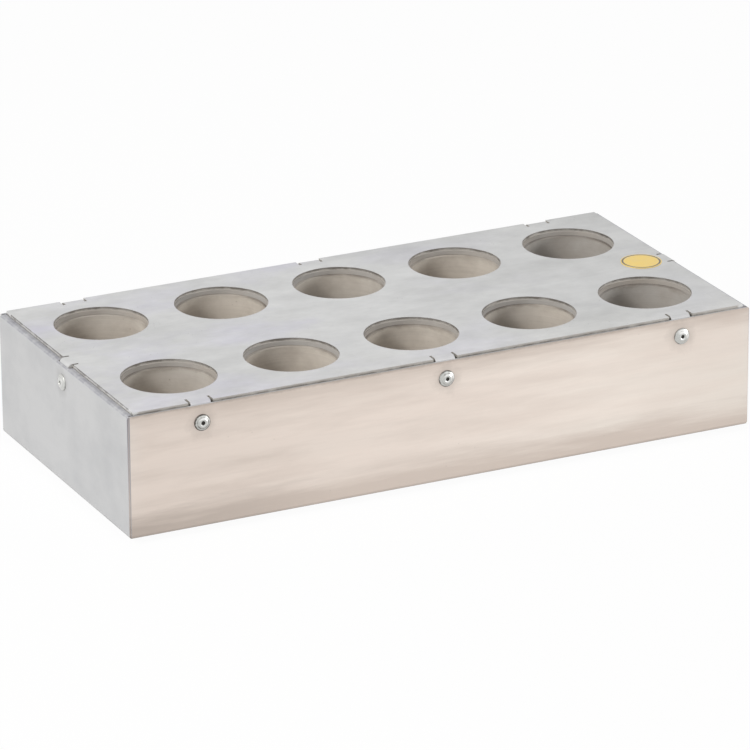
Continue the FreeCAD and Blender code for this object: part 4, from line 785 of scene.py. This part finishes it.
def sticker_film(fittings, steel):
    """Yellow film with a dark printed ring near its edge, spotted with soiling."""
    material, tree, shader, place = new_surface("sticker_film", Coat_Weight=0.3)
    low, high = corners_of("round_sticker")
    offset = add(tree, "ShaderNodeMapping")
    fill(offset.inputs["Vector"], place)
    offset.inputs["Location"].default_value = -(low + high) / 2
    away = add(tree, "ShaderNodeVectorMath", operation="LENGTH")
    fill(away.inputs[0], offset.outputs[0])
    radius = (high.x - low.x) / 2
    outer = span(tree, away.outputs["Value"], radius * 0.86, radius * 0.87)
    inner = span(tree, away.outputs["Value"], radius * 0.95, radius * 0.96, 1.0, 0.0)
    cloud = noise(tree, place, 240, 4, 0.6)
    pale = tuple(min(1.0, channel * 1.15 + 0.02) for channel in fittings.sticker_colour)
    colour = blend(tree, cloud, tuple(fittings.sticker_colour), pale)
    colour = blend(tree, times(outer, inner), colour, (0.06, 0.05, 0.03))
    spots = effect(tree, "Specks", Place=place, Per_metre=500, Size=0.12)["Mask"]
    colour = blend(tree, times(spots, 0.5), colour, tuple(steel.grime))
    fill(shader["Base Color"], colour)
    fill(shader["Roughness"], span(tree, cloud, 0.3, 0.7, 0.3, 0.45))
    bump(tree, shader, cloud, 0.00003, 0.4)
    return material


def clear_glass():
    """Glass tube of the fuse, with faint dust."""
    material, tree, shader, place = new_surface("fuse_glass", Transmission_Weight=0.9, IOR=1.5)
    dust = noise(tree, place, 600, 3, 0.6)
    fill(shader["Base Color"], blend(tree, dust, (0.94, 0.96, 0.96), (0.86, 0.88, 0.87)))
    fill(shader["Roughness"], span(tree, dust, 0.3, 0.7, 0.04, 0.14))
    return material


# Geometry Nodes


def new_tree(name, inputs):
    """A Geometry Nodes tree with named inputs and one geometry output."""
    tree = bpy.data.node_groups.new(name, "GeometryNodeTree")
    tree.interface.new_socket(name="Geometry", in_out="INPUT", socket_type="NodeSocketGeometry")
    for title, kind in inputs:
        tree.interface.new_socket(name=title, in_out="INPUT", socket_type=kind)
    tree.interface.new_socket(name="Geometry", in_out="OUTPUT", socket_type="NodeSocketGeometry")
    return tree, add(tree, "NodeGroupInput").outputs, add(tree, "NodeGroupOutput").inputs


def finish_tree(tree, out, geometry, material):
    """End a tree with real geometry that has its material."""
    real = add(tree, "GeometryNodeRealizeInstances")
    fill(real.inputs[0], geometry)
    coat = add(tree, "GeometryNodeSetMaterial")
    fill(coat.inputs["Geometry"], real.outputs[0])
    fill(coat.inputs["Material"], material)
    fill(out["Geometry"], coat.outputs[0])
    return tree


def new_object(name, mesh):
    """An object in the scene, at the origin."""
    item = bpy.data.objects.new(name, mesh)
    bpy.context.scene.collection.objects.link(item)
    return item


def spots_object(name, spots, facings=()):
    """A mesh of loose points to put copies on, each with the way that its copy faces."""
    mesh = bpy.data.meshes.new(name)
    mesh.from_pydata([tuple(spot) for spot in spots], [], [])
    facing = mesh.attributes.new("facing", "FLOAT_VECTOR", "POINT")
    for entry, way in zip(facing.data, facings):
        entry.vector = way
    return new_object(name, mesh)


def plain_mesh(item):
    """An object's evaluated shape as a mesh of its own."""
    bpy.context.view_layer.update()
    graph = bpy.context.evaluated_depsgraph_get()
    return bpy.data.meshes.new_from_object(item.evaluated_get(graph))


def grow(item, tree, **values):
    """Run a tree on an object and keep the result as its plain mesh."""
    modifier = item.modifiers.new(tree.name, "NODES")
    modifier.node_group = tree
    for socket in tree.interface.items_tree:
        title = socket.name.replace(" ", "_")
        if socket.in_out == "INPUT" and title in values:
            modifier[socket.identifier] = values[title]
    mesh = plain_mesh(item)
    item.modifiers.remove(modifier)
    item.data = mesh
    mesh.name = item.name
    return item


def rim_tree(material):
    """Rolled burr: a thin ring on every point."""
    tree, given, out = new_tree("Rolled burr", [("Ring radius", FLOAT), ("Burr radius", FLOAT)])
    ring = add(tree, "GeometryNodeCurvePrimitiveCircle")
    ring.inputs["Resolution"].default_value = 128
    fill(ring.inputs["Radius"], given["Ring radius"])
    section = add(tree, "GeometryNodeCurvePrimitiveCircle")
    section.inputs["Resolution"].default_value = 8
    fill(section.inputs["Radius"], given["Burr radius"])
    roll = add(tree, "GeometryNodeCurveToMesh")
    fill(roll.inputs["Curve"], ring.outputs[0])
    fill(roll.inputs["Profile Curve"], section.outputs[0])
    copies = add(tree, "GeometryNodeInstanceOnPoints")
    fill(copies.inputs["Points"], given["Geometry"])
    fill(copies.inputs["Instance"], roll.outputs[0])
    return finish_tree(tree, out, copies.outputs[0], material)


def fastener_tree():
    """A fastener on every point, along the point's own facing and turned about its axis by chance."""
    inputs = [
        ("Fastener", "NodeSocketObject"), ("Seed", "NodeSocketInt"), ("Material", "NodeSocketMaterial")]
    tree, given, out = new_tree("Fasteners", inputs)
    pattern = add(tree, "GeometryNodeObjectInfo")
    fill(pattern.inputs["Object"], given["Fastener"])
    facing = add(tree, "GeometryNodeInputNamedAttribute", data_type="FLOAT_VECTOR")
    facing.inputs["Name"].default_value = "facing"
    aim = add(tree, "FunctionNodeAlignRotationToVector", axis="Z")
    fill(aim.inputs["Vector"], facing.outputs["Attribute"])
    chance = add(tree, "FunctionNodeRandomValue", data_type="FLOAT_VECTOR")
    chance.inputs["Min"].default_value = (0, 0, 0)
    chance.inputs["Max"].default_value = (0, 0, 2 * math.pi)
    fill(chance.inputs["Seed"], given["Seed"])
    turn = add(tree, "FunctionNodeEulerToRotation")
    fill(turn.inputs[0], chance.outputs[0])
    turned = add(tree, "FunctionNodeRotateRotation", rotation_space="LOCAL")
    fill(turned.inputs["Rotation"], aim.outputs[0])
    fill(turned.inputs["Rotate By"], turn.outputs[0])
    copies = add(tree, "GeometryNodeInstanceOnPoints")
    fill(copies.inputs["Points"], given["Geometry"])
    fill(copies.inputs["Instance"], pattern.outputs["Geometry"])
    fill(copies.inputs["Rotation"], turned.outputs[0])
    return finish_tree(tree, out, copies.outputs[0], given["Material"])


def tick_tree(material):
    """Ticks of a dial's scale, swept around the Y axis."""
    inputs = [
        ("Count", "NodeSocketInt"), ("Sweep", FLOAT), ("Radius", FLOAT), ("Length", FLOAT), ("Width", FLOAT),
        ("Thickness", FLOAT)]
    tree, given, out = new_tree("Dial ticks", inputs)
    line = add(tree, "GeometryNodeMeshLine")
    fill(line.inputs["Count"], given["Count"])
    line.inputs["Offset"].default_value = (0, 0, 0)
    size = add(tree, "ShaderNodeCombineXYZ")
    fill(size.inputs[0], given["Width"])
    fill(size.inputs[1], given["Thickness"])
    fill(size.inputs[2], given["Length"])
    bar = add(tree, "GeometryNodeMeshCube")
    fill(bar.inputs["Size"], size.outputs[0])
    out_to = add(tree, "ShaderNodeCombineXYZ")
    fill(out_to.inputs[2], maths(tree, "ADD", given["Radius"], times(given["Length"], 0.5)))
    lifted = add(tree, "GeometryNodeTransform")
    fill(lifted.inputs["Geometry"], bar.outputs["Mesh"])
    fill(lifted.inputs["Translation"], out_to.outputs[0])
    number = add(tree, "GeometryNodeInputIndex")
    gaps = maths(tree, "SUBTRACT", given["Count"], 1)
    share = maths(tree, "SUBTRACT", maths(tree, "DIVIDE", number.outputs[0], gaps), 0.5)
    angle = add(tree, "ShaderNodeCombineXYZ")
    fill(angle.inputs[1], times(share, given["Sweep"]))
    euler = add(tree, "FunctionNodeEulerToRotation")
    fill(euler.inputs[0], angle.outputs[0])
    copies = add(tree, "GeometryNodeInstanceOnPoints")
    fill(copies.inputs["Points"], line.outputs[0])
    fill(copies.inputs["Instance"], lifted.outputs[0])
    fill(copies.inputs["Rotation"], euler.outputs[0])
    return finish_tree(tree, out, copies.outputs[0], material)


# Mesh pieces

# Pan-head screws: diameter and height of the head, diameter of the shank
SMALL_SCREW = (5.5 * MM, 1.6 * MM, 2.9 * MM)
LARGE_SCREW = (8 * MM, 2.4 * MM, 4 * MM)
# Turn of the driver's recess, so that its corners miss the edges of the head's own faces
RECESS_TURN = 0.07


def lathe(name, profile, steps, closed):
    """A turned piece about Z. Each point of the profile is radius, height and how much painted shade and soiling
    it takes there.
    """
    shape = bmesh.new()
    grime = shape.verts.layers.float.new("grime")
    rings = []
    for radius, height, dirt_and_shade in profile:
        count = steps if radius > 0 else 1
        ring = []
        for step in range(count):
            angle = 2 * math.pi * step / count
            vertex = shape.verts.new((radius * math.cos(angle), radius * math.sin(angle), height))
            vertex[grime] = dirt_and_shade
            ring.append(vertex)
        rings.append(ring)
    pairs = list(zip(rings, rings[1:]))
    if closed:
        pairs.append((rings[-1], rings[0]))
    for upper, lower in pairs:
        for step in range(steps):
            after = (step + 1) % steps
            corners = [
                upper[step % len(upper)], lower[step % len(lower)], lower[after % len(lower)],
                upper[after % len(upper)]]
            shape.faces.new(list(dict.fromkeys(corners)))
    bmesh.ops.recalc_face_normals(shape, faces=shape.faces)
    mesh = bpy.data.meshes.new(name)
    shape.to_mesh(mesh)
    shape.free()
    return mesh


def smooth(mesh, degrees=32):
    """Shade round faces smooth and keep real corners sharp."""
    mesh.shade_smooth()
    mesh.set_sharp_from_angle(angle=math.radians(degrees))


def rivet_mesh(head, dome):
    """A set blind rivet: domed flange, crest round the mouth, bore, shank and spread end behind the sheet."""
    rim = head / 2
    # Third value of each point: painted shade and soiling, most at the head's edge, in its fold and in its bore
    flange = [
        (rim - 0.15 * MM, 0.0, 1.0), (rim, 0.08 * MM, 1.0), (rim, 0.24 * MM, 1.0),
        (rim - 0.1 * MM, 0.38 * MM, 0.9), (rim - 0.45 * MM, 0.54 * MM, 0.68),
        (rim - 0.75 * MM, 0.69 * MM, 0.3)]
    crest = [
        (rim - 1.05 * MM, 0.8 * MM, 0.62), (rim - 1.45 * MM, 1.02 * MM, 0.62),
        (rim - 1.8 * MM, dome - 0.14 * MM, 0.1), (rim - 2.2 * MM, dome, 0.0),
        (rim - 2.6 * MM, dome - 0.03 * MM, 0.05), (rim - 2.95 * MM, dome - 0.18 * MM, 0.4)]
    bore = [
        (rim - 3.12 * MM, dome - 0.4 * MM, 0.9), (rim - 3.1 * MM, dome - 0.6 * MM, 1.0),
        (rim - 2.88 * MM, dome - 0.8 * MM, 1.0), (rim - 2.88 * MM, -5.5 * MM, 1.0)]
    behind = [
        (2.5 * MM, -5.5 * MM, 0.3), (2.85 * MM, -4.0 * MM, 0.3), (2.0 * MM, -2.5 * MM, 0.3),
        (2.0 * MM, 0.0, 0.6)]
    return lathe("rivet", flange + crest + bore + behind, 40, True)


def screw_mesh(head, tall, shank, length):
    """A pan-head screw with a cross recess: its seat is at z 0 and its shank reaches down."""
    profile = [
        (0.0, tall * 0.98, 0), (head * 0.20, tall, 0), (head * 0.34, tall * 0.93, 0),
        (head * 0.44, tall * 0.76, 0), (head * 0.49, tall * 0.48, 0), (head * 0.5, tall * 0.14, 0),
        (head * 0.49, 0.0, 0), (shank * 0.5, 0.0, 0), (shank * 0.5, -length, 0), (0.0, -length, 0)]
    item = new_object("screw", lathe("screw", profile, 32, False))
    cross = new_object("cross", cross_mesh(head, tall))
    cutter = item.modifiers.new("Recess", "BOOLEAN")
    cutter.object = cross
    cutter.solver = "EXACT"
    mesh = plain_mesh(item)
    bpy.data.objects.remove(item)
    bpy.data.objects.remove(cross)
    return mesh


def cross_mesh(head, tall):
    """The tapered cross that a driver's recess is cut with."""
    shape = bmesh.new()
    rings = []
    for reach, wide, height in ((0.15, 0.04, 0.35), (0.29, 0.065, 1.2)):
        ring = []
        for quarter in range(4):
            turn = Matrix.Rotation(quarter * math.pi / 2 + RECESS_TURN, 3, "Z")
            for x, y in ((reach, -wide), (reach, wide), (wide, wide)):
                ring.append(shape.verts.new(turn @ Vector((x * head, y * head, height * tall))))
        rings.append(ring)
        shape.faces.new(ring)
    deep, upper = rings
    for step in range(len(deep)):
        shape.faces.new((deep[step - 1], deep[step], upper[step], upper[step - 1]))
    bmesh.ops.recalc_face_normals(shape, faces=shape.faces)
    mesh = bpy.data.meshes.new("cross")
    shape.to_mesh(mesh)
    shape.free()
    return mesh


def set_fasteners(name, pattern, spots, facings, material, seed):
    """Put a fastener at every spot."""
    tree = bpy.data.node_groups.get("Fasteners") or fastener_tree()
    sample = new_object("sample", pattern)
    item = spots_object(name, spots, facings)
    grow(item, tree, Fastener=sample, Seed=seed, Material=material)
    bpy.data.objects.remove(sample)
    smooth(item.data)
    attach(item, "casing")
    return item


def set_screws(node, head, tall, shank, facing, material, seed):
    """Cross-headed screws in place of a node's plain ones, at the corners or ends of its box."""
    low, high = corners_of(node)
    near = low + Vector((head, head, head)) / 2
    far = high - Vector((head, head, head)) / 2
    if facing.z < 0:
        seat = low.z + tall
        length = high.z - seat
        spots = [(x, y, seat) for x in (near.x, far.x) for y in (near.y, far.y)]
    else:
        seat = high.y - tall
        length = seat - low.y
        spots = [(x, seat, near.z) for x in (near.x, far.x)]
    pattern = screw_mesh(head, tall, shank, length)
    item = set_fasteners(f"{node}_set", pattern, spots, [facing] * len(spots), material, seed)
    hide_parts(node)


def printed(name, marks, thick, material, body):
    """Characters as thin solids in one piece. A mark is its text, its size and the matrix that places it."""
    shape = bmesh.new()
    for text, size, matrix in marks:
        data = bpy.data.curves.new("mark", "FONT")
        data.body = text
        data.size = size
        data.align_x = "CENTER"
        data.align_y = "CENTER"
        data.extrude = thick / 2
        item = new_object("mark", data)
        mesh = plain_mesh(item)
        bpy.data.objects.remove(item)
        mesh.transform(matrix)
        shape.from_mesh(mesh)
    mesh = bpy.data.meshes.new(name)
    shape.to_mesh(mesh)
    shape.free()
    mesh.materials.clear()
    mesh.materials.append(material)
    piece = new_object(name, mesh)
    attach(piece, body)
    return piece


# Dial's scale: room between knob and ticks, what the fold takes of the wall, width of a tick, ink
KNOB_ROOM = 0.7 * MM
FOLD_HEIGHT = 2.4 * MM
TICK_WIDTH = 0.5 * MM
INK_THICK = 0.1 * MM
# Rocker: its tilt at rest, the dip in the middle of its face and half the face's height
ROCKER_TILT = math.radians(10)
ROCKER_DIP = 1.8 * MM
ROCKER_HALF = 7.8 * MM
# Rocker's marks: size, thickness, and place out from the pivot and along the face
MARK_SIZE = 5.2 * MM
MARK_THICK = 0.12 * MM
MARK_OUT = 5.1 * MM
MARK_ALONG = 3.9 * MM
# Turns flat text so that it stands upright and is read from the rear
READ_FROM_REAR = Matrix(((-1, 0, 0), (0, 0, 1), (0, 1, 0))).to_4x4()


# Operators


class HEATER_OT_effects(bpy.types.Operator):
    """Build the shader groups that the finishes share"""

    bl_idname = "heater.effects"
    bl_label = "Shared effects"

    def execute(self, context):
        make_grain_effect()
        make_smear_effect()
        make_band_effect()
        make_speck_effect()
        make_scratch_effect()
        make_skin_effect()
        make_edge_effect()
        make_halo_effect()
        return {"FINISHED"}


class HEATER_OT_casing(bpy.types.Operator):
    """Finish the folded tray, the top plate and the round sticker"""

    bl_idname = "heater.casing"
    bl_label = "Casing and plate"

    def execute(self, context):
        scene = context.scene
        wear(wall_steel(scene.heater_steel), "casing_tray")
        wear(plate_steel(scene.heater_steel), "top_plate")
        wear(sticker_film(scene.heater_fittings, scene.heater_steel), "round_sticker")
        return {"FINISHED"}


class HEATER_OT_rims(bpy.types.Operator):
    """Roll a burr round the edge of each hole in the plate"""

    bl_idname = "heater.rims"
    bl_label = "Hole rims"

    def execute(self, context):
        wells = context.scene.heater_wells
        tree = rim_tree(rolled_edge(context.scene.heater_steel))
        # Most of the burr is sunk in the plate, so that only its crown stands proud
        level = corners_of("top_plate")[1].z - wells.rim_radius * 0.95
        item = spots_object("hole_rims", [(spot.x, spot.y, level) for spot in well_spots()])
        ring = wells.hole_radius + wells.rim_radius * 0.4
        grow(item, tree, Ring_radius=ring, Burr_radius=wells.rim_radius)
        item.data.shade_smooth()
        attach(item, "casing")
        return {"FINISHED"}


class HEATER_OT_rivets(bpy.types.Operator):
    """Set the rivets that hold the plate's tabs to the walls, and finish the stems inside them"""

    bl_idname = "heater.rivets"
    bl_label = "Rivets"

    def execute(self, context):
        fasteners = context.scene.heater_fasteners
        low, high = corners_of("casing_tray")
        sleeve_low, sleeve_high = corners_of("rivet_sleeves")
        level = middle("rivet_sleeves").z
        spots, facings = [], []
        for x in rivet_columns():
            spots += [(x, low.y, level), (x, high.y, level)]
            facings += [(0, -1, 0), (0, 1, 0)]
        depth = (low.y + high.y) / 2
        spots += [(low.x, depth, level), (high.x, depth, level)]
        facings += [(-1, 0, 0), (1, 0, 0)]
        pattern = rivet_mesh(sleeve_high.z - sleeve_low.z, low.y - sleeve_low.y)
        metal = rivet_metal(fasteners)
        item = set_fasteners("rivets", pattern, spots, facings, metal, fasteners.seed)
        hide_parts("rivet_sleeves")
        wear(dull_stem(), "rivet_mandrels")
        return {"FINISHED"}


class HEATER_OT_block(bpy.types.Operator):
    """Finish the heating block, its gasket, boards and heaters"""

    bl_idname = "heater.block"
    bl_label = "Block and insulation"

    def execute(self, context):
        wear(well_metal(context.scene.heater_wells), "heating_block")
        wear(gasket_sheet(), "top_gasket")
        boards = ("floor_board", "board_front", "board_rear", "board_left", "board_right")
        wear(soft_sheet("fibre_board", (0.72, 0.68, 0.60), (0.60, 0.55, 0.46), 900, 0.85), *boards)
        sheath = plated("heater_sheath", (0.46, 0.44, 0.42), (0.30, 0.27, 0.25), 0.35)
        wear(sheath, "heater_front", "heater_rear", "temperature_sensor")
        wear(moulding("cutout_body", (0.03, 0.028, 0.026), 0.45), "thermal_cutout")
        return {"FINISHED"}


class HEATER_OT_screws(bpy.types.Operator):
    """Set cross-headed screws where the plain screws are, and finish nuts, pillars and feet"""

    bl_idname = "heater.screws"
    bl_label = "Screws and feet"

    def execute(self, context):
        fasteners = context.scene.heater_fasteners
        zinc = plated("zinc_plate", tuple(fasteners.zinc_colour), (0.44, 0.43, 0.40), 0.28)
        down, back = Vector((0, 0, -1)), Vector((0, 1, 0))
        seed = fasteners.seed
        set_screws("inlet_screws", *SMALL_SCREW, back, zinc, seed)
        set_screws("pillar_screws", *LARGE_SCREW, down, zinc, seed + 1)
        set_screws("foot_screws", *SMALL_SCREW, down, zinc, seed + 2)
        set_screws("board_screws", *SMALL_SCREW, down, zinc, seed + 3)
        wear(zinc, "cutout_screws", "foot_nuts", "inlet_nuts", "board_nuts", "board_spacers", "block_pillars")
        wear(zinc, "pot_nut", "pot_washer")
        rubber = moulding("foot_rubber", (0.018, 0.018, 0.018), 0.7, 1800, 0.00008)
        wear(rubber, "foot_front_left", "foot_rear_left", "foot_front_right", "foot_rear_right")
        return {"FINISHED"}


class HEATER_OT_controls(bpy.types.Operator):
    """Finish the inlet, switch and knob, and print the dial's scale and the switch's two marks"""

    bl_idname = "heater.controls"
    bl_label = "Rear controls"

    def execute(self, context):
        fittings = context.scene.heater_fittings
        black = moulding("black_moulding", tuple(fittings.moulding_colour), 0.42)
        wear(black, "inlet_housing", "switch_housing", "control_knob")
        gloss = moulding("rocker_moulding", tuple(fittings.moulding_colour), 0.2, 2200, 0.00001)
        wear(gloss, "switch_rocker")
        white = moulding("white_line", (0.78, 0.78, 0.75), 0.4)
        wear(white, "knob_pointer")
        brass = plated("contact_plate", (0.72, 0.64, 0.44), (0.52, 0.44, 0.28), 0.25)
        wear(brass, "inlet_pins", "switch_terminals", "fuse_clips", "earth_eye", "earth_stud", "earth_nut")
        turned = plated("turned_steel", (0.55, 0.55, 0.55), (0.40, 0.39, 0.38), 0.3)
        wear(turned, "knob_shaft", "control_pot")
        self.print_scale(fittings)
        self.mark_rocker(white)
        return {"FINISHED"}

    def print_scale(self, fittings):
        """Ticks round the knob on the rear wall, with the even numbers."""
        ink = moulding("scale_ink", tuple(fittings.print_colour), 0.5)
        low, high = corners_of("control_knob")
        centre = middle("knob_shaft")
        centre.y = corners_of("casing_tray")[1].y
        reach = (high.x - low.x) / 2 + KNOB_ROOM
        lowest = corners_of("casing_tray")[0].z + FOLD_HEIGHT + fittings.number_size / 2
        ticks = spots_object("dial_scale", [])
        grow(ticks, tick_tree(ink), Count=fittings.tick_count, Sweep=fittings.tick_sweep, Radius=reach,
             Length=fittings.tick_length, Width=TICK_WIDTH, Thickness=INK_THICK)
        ticks.data.transform(Matrix.Translation(centre))
        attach(ticks, "casing")
        marks = []
        ring = reach + fittings.tick_length + fittings.number_size * 0.62
        for number in range(0, fittings.tick_count, 2):
            angle = (0.5 - number / (fittings.tick_count - 1)) * fittings.tick_sweep
            spot = centre + Vector((math.sin(angle), 0, math.cos(angle))) * ring
            # A number that would reach the wall's lower fold is lifted and moved outwards, clear of the knob
            lift = max(0, lowest - spot.z)
            spot += Vector((math.copysign(lift * 0.7, math.sin(angle)), 0, lift))
            marks.append((str(number), fittings.number_size, Matrix.Translation(spot) @ READ_FROM_REAR))
        numbers = printed("dial_numbers", marks, INK_THICK, ink, "casing")

    def mark_rocker(self, white):
        """I on the half that is pressed in for on, O on the other, each flat on the rocker's own slope."""
        joint = next(joint for joint in frame["joints"] if joint["name"] == "power_rocker")
        pivot = Vector(joint["pos_m"])
        tilt = Matrix.Rotation(ROCKER_TILT, 4, "X")
        marks = []
        for text, side in (("I", -1), ("O", 1)):
            slope = Matrix.Rotation(-side * math.atan2(ROCKER_DIP, ROCKER_HALF), 4, "X")
            place = Matrix.Translation(Vector((0, MARK_OUT, side * MARK_ALONG)))
            matrix = Matrix.Translation(pivot) @ tilt @ place @ slope @ READ_FROM_REAR
            marks.append((text, MARK_SIZE, matrix))
        item = printed("rocker_marks", marks, MARK_THICK, white, "rocker")


class HEATER_OT_wiring(bpy.types.Operator):
    """Finish the control board, what stands on it, and the leads"""

    bl_idname = "heater.wiring"
    bl_label = "Board and leads"

    def execute(self, context):
        wear(moulding("board_green", (0.02, 0.11, 0.045), 0.4, 1200, 0.00003), "control_board")
        wear(moulding("case_black", (0.025, 0.025, 0.03), 0.3), "power_relay", "capacitor")
        wear(plated("varnished_iron", (0.22, 0.19, 0.16), (0.12, 0.10, 0.08), 0.45), "transformer")
        wear(moulding("strip_green", (0.03, 0.19, 0.08), 0.3), "output_terminals", "mains_terminals")
        wear(clear_glass(), "fuse")
        sleeves = {
            "red": ((0.32, 0.02, 0.018), ("heater_leads", "cutout_leads")),
            "white": ((0.62, 0.62, 0.58), ("sensor_lead", "control_leads")),
            "brown": ((0.10, 0.04, 0.018), ("live_lead", "switched_lead")),
            "blue": ((0.02, 0.06, 0.30), ("neutral_lead",)),
            "green": ((0.05, 0.25, 0.03), ("earth_lead",)),
        }
        for name, (colour, nodes) in sleeves.items():
            wear(moulding(f"{name}_sleeve", colour, 0.45, 1500), *nodes)
        return {"FINISHED"}


class HEATER_OT_stage(bpy.types.Operator):
    """Lay the floor, set the light and put the camera where the photograph was taken"""

    bl_idname = "heater.stage"
    bl_label = "Studio"

    def execute(self, context):
        studio = context.scene.heater_studio
        self.lay_floor(context, studio)
        self.light_room(context, studio)
        self.set_camera(context, studio)
        return {"FINISHED"}

    def lay_floor(self, context, studio):
        bpy.ops.mesh.primitive_plane_add(size=30)
        floor = context.object
        floor.name = "floor"
        material = bpy.data.materials.new("pale_floor")
        material.use_nodes = True
        tree = material.node_tree
        tree.nodes.clear()
        matt = add(tree, "ShaderNodeBsdfDiffuse")
        matt.inputs["Color"].default_value = (0.9, 0.9, 0.9, 1)
        glow = add(tree, "ShaderNodeEmission")
        glow.inputs["Strength"].default_value = 1.0
        mixed = add(tree, "ShaderNodeMixShader")
        fill(mixed.inputs[0], times(seen_rays(tree), studio.floor_glow))
        fill(mixed.inputs[1], matt.outputs[0])
        fill(mixed.inputs[2], glow.outputs[0])
        fill(add(tree, "ShaderNodeOutputMaterial").inputs["Surface"], mixed.outputs[0])
        floor.data.materials.append(material)

    def light_room(self, context, studio):
        world = bpy.data.worlds.new("studio")
        context.scene.world = world
        world.use_nodes = True
        tree = world.node_tree
        sky = tree.nodes["Background"]
        sky.inputs["Color"].default_value = (1, 1, 1, 1)
        fill(sky.inputs["Strength"], span(tree, seen_rays(tree), 0, 1, studio.room_light, 1.0))
        lamp(context, "key", Vector(studio.key_place), 0.7, studio.key_power, (1.0, 0.98, 0.95))
        lamp(context, "side", Vector(studio.side_place), 0.4, studio.side_power, (1.0, 1.0, 1.0))
        context.scene.view_settings.view_transform = "Standard"

    def set_camera(self, context, studio):
        data = bpy.data.cameras.new("photo_camera")
        data.lens = studio.lens
        data.sensor_width = 36
        data.clip_end = 100
        camera = new_object("photo_camera", data)
        turn, lift = studio.camera_turn, studio.camera_lift
        back = Vector((math.sin(turn) * math.cos(lift), -math.cos(turn) * math.cos(lift), math.sin(lift)))
        level = Vector((0, 0, 1)).cross(back).normalized()
        upright = back.cross(level)
        right = level * math.cos(studio.camera_roll) + upright * math.sin(studio.camera_roll)
        axes = Matrix((right, back.cross(right), back)).transposed().to_4x4()
        camera.matrix_world = Matrix.Translation(studio.camera_place) @ axes
        context.scene.camera = camera


def seen_rays(tree):
    """One for rays that see the background directly, in a gloss or through glass."""
    path = add(tree, "ShaderNodeLightPath").outputs
    glossy = maths(tree, "MAXIMUM", path["Is Camera Ray"], path["Is Glossy Ray"])
    return maths(tree, "MAXIMUM", glossy, path["Is Transmission Ray"])


def lamp(context, name, place, size, power, colour):
    """A large soft lamp that looks at the object."""
    data = bpy.data.lights.new(name, "AREA")
    data.shape = "DISK"
    data.size = size
    data.energy = power
    data.color = colour
    item = new_object(name, data)
    item.location = place
    item.rotation_euler = (Vector((0, 0, 0.03)) - place).to_track_quat("-Z", "Y").to_euler()


class HEATER_PT_panel(bpy.types.Panel):
    """Steps that finish the heater"""

    bl_idname = "HEATER_PT_panel"
    bl_label = "Dry Block Heater"
    bl_space_type = "VIEW_3D"
    bl_region_type = "UI"
    bl_category = "Heater"

    def draw(self, context):
        for step in STEPS:
            self.layout.operator(step.bl_idname)
        for name in SETTINGS:
            group = getattr(context.scene, name)
            box = self.layout.box()
            for title in group.__annotations__:
                box.prop(group, title)


SETTINGS = {
    "heater_steel": HeaterSteel,
    "heater_wells": HeaterWells,
    "heater_fasteners": HeaterFasteners,
    "heater_fittings": HeaterFittings,
    "heater_studio": HeaterStudio,
}
STEPS = (
    HEATER_OT_effects, HEATER_OT_casing, HEATER_OT_rims, HEATER_OT_rivets, HEATER_OT_block, HEATER_OT_screws,
    HEATER_OT_controls, HEATER_OT_wiring, HEATER_OT_stage,
)


def register():
    for group in SETTINGS.values():
        bpy.utils.register_class(group)
    for name, group in SETTINGS.items():
        setattr(bpy.types.Scene, name, bpy.props.PointerProperty(type=group))
    for step in STEPS:
        bpy.utils.register_class(step)
    bpy.utils.register_class(HEATER_PT_panel)


def unregister():
    bpy.utils.unregister_class(HEATER_PT_panel)
    for step in reversed(STEPS):
        bpy.utils.unregister_class(step)
    for name, group in SETTINGS.items():
        delattr(bpy.types.Scene, name)
        bpy.utils.unregister_class(group)


def main():
    register()
    bpy.ops.heater.effects()
    bpy.ops.heater.casing()
    bpy.ops.heater.rims()
    bpy.ops.heater.rivets()
    bpy.ops.heater.block()
    bpy.ops.heater.screws()
    bpy.ops.heater.controls()
    bpy.ops.heater.wiring()
    bpy.ops.heater.stage()


if __name__ == "__main__":
    main()
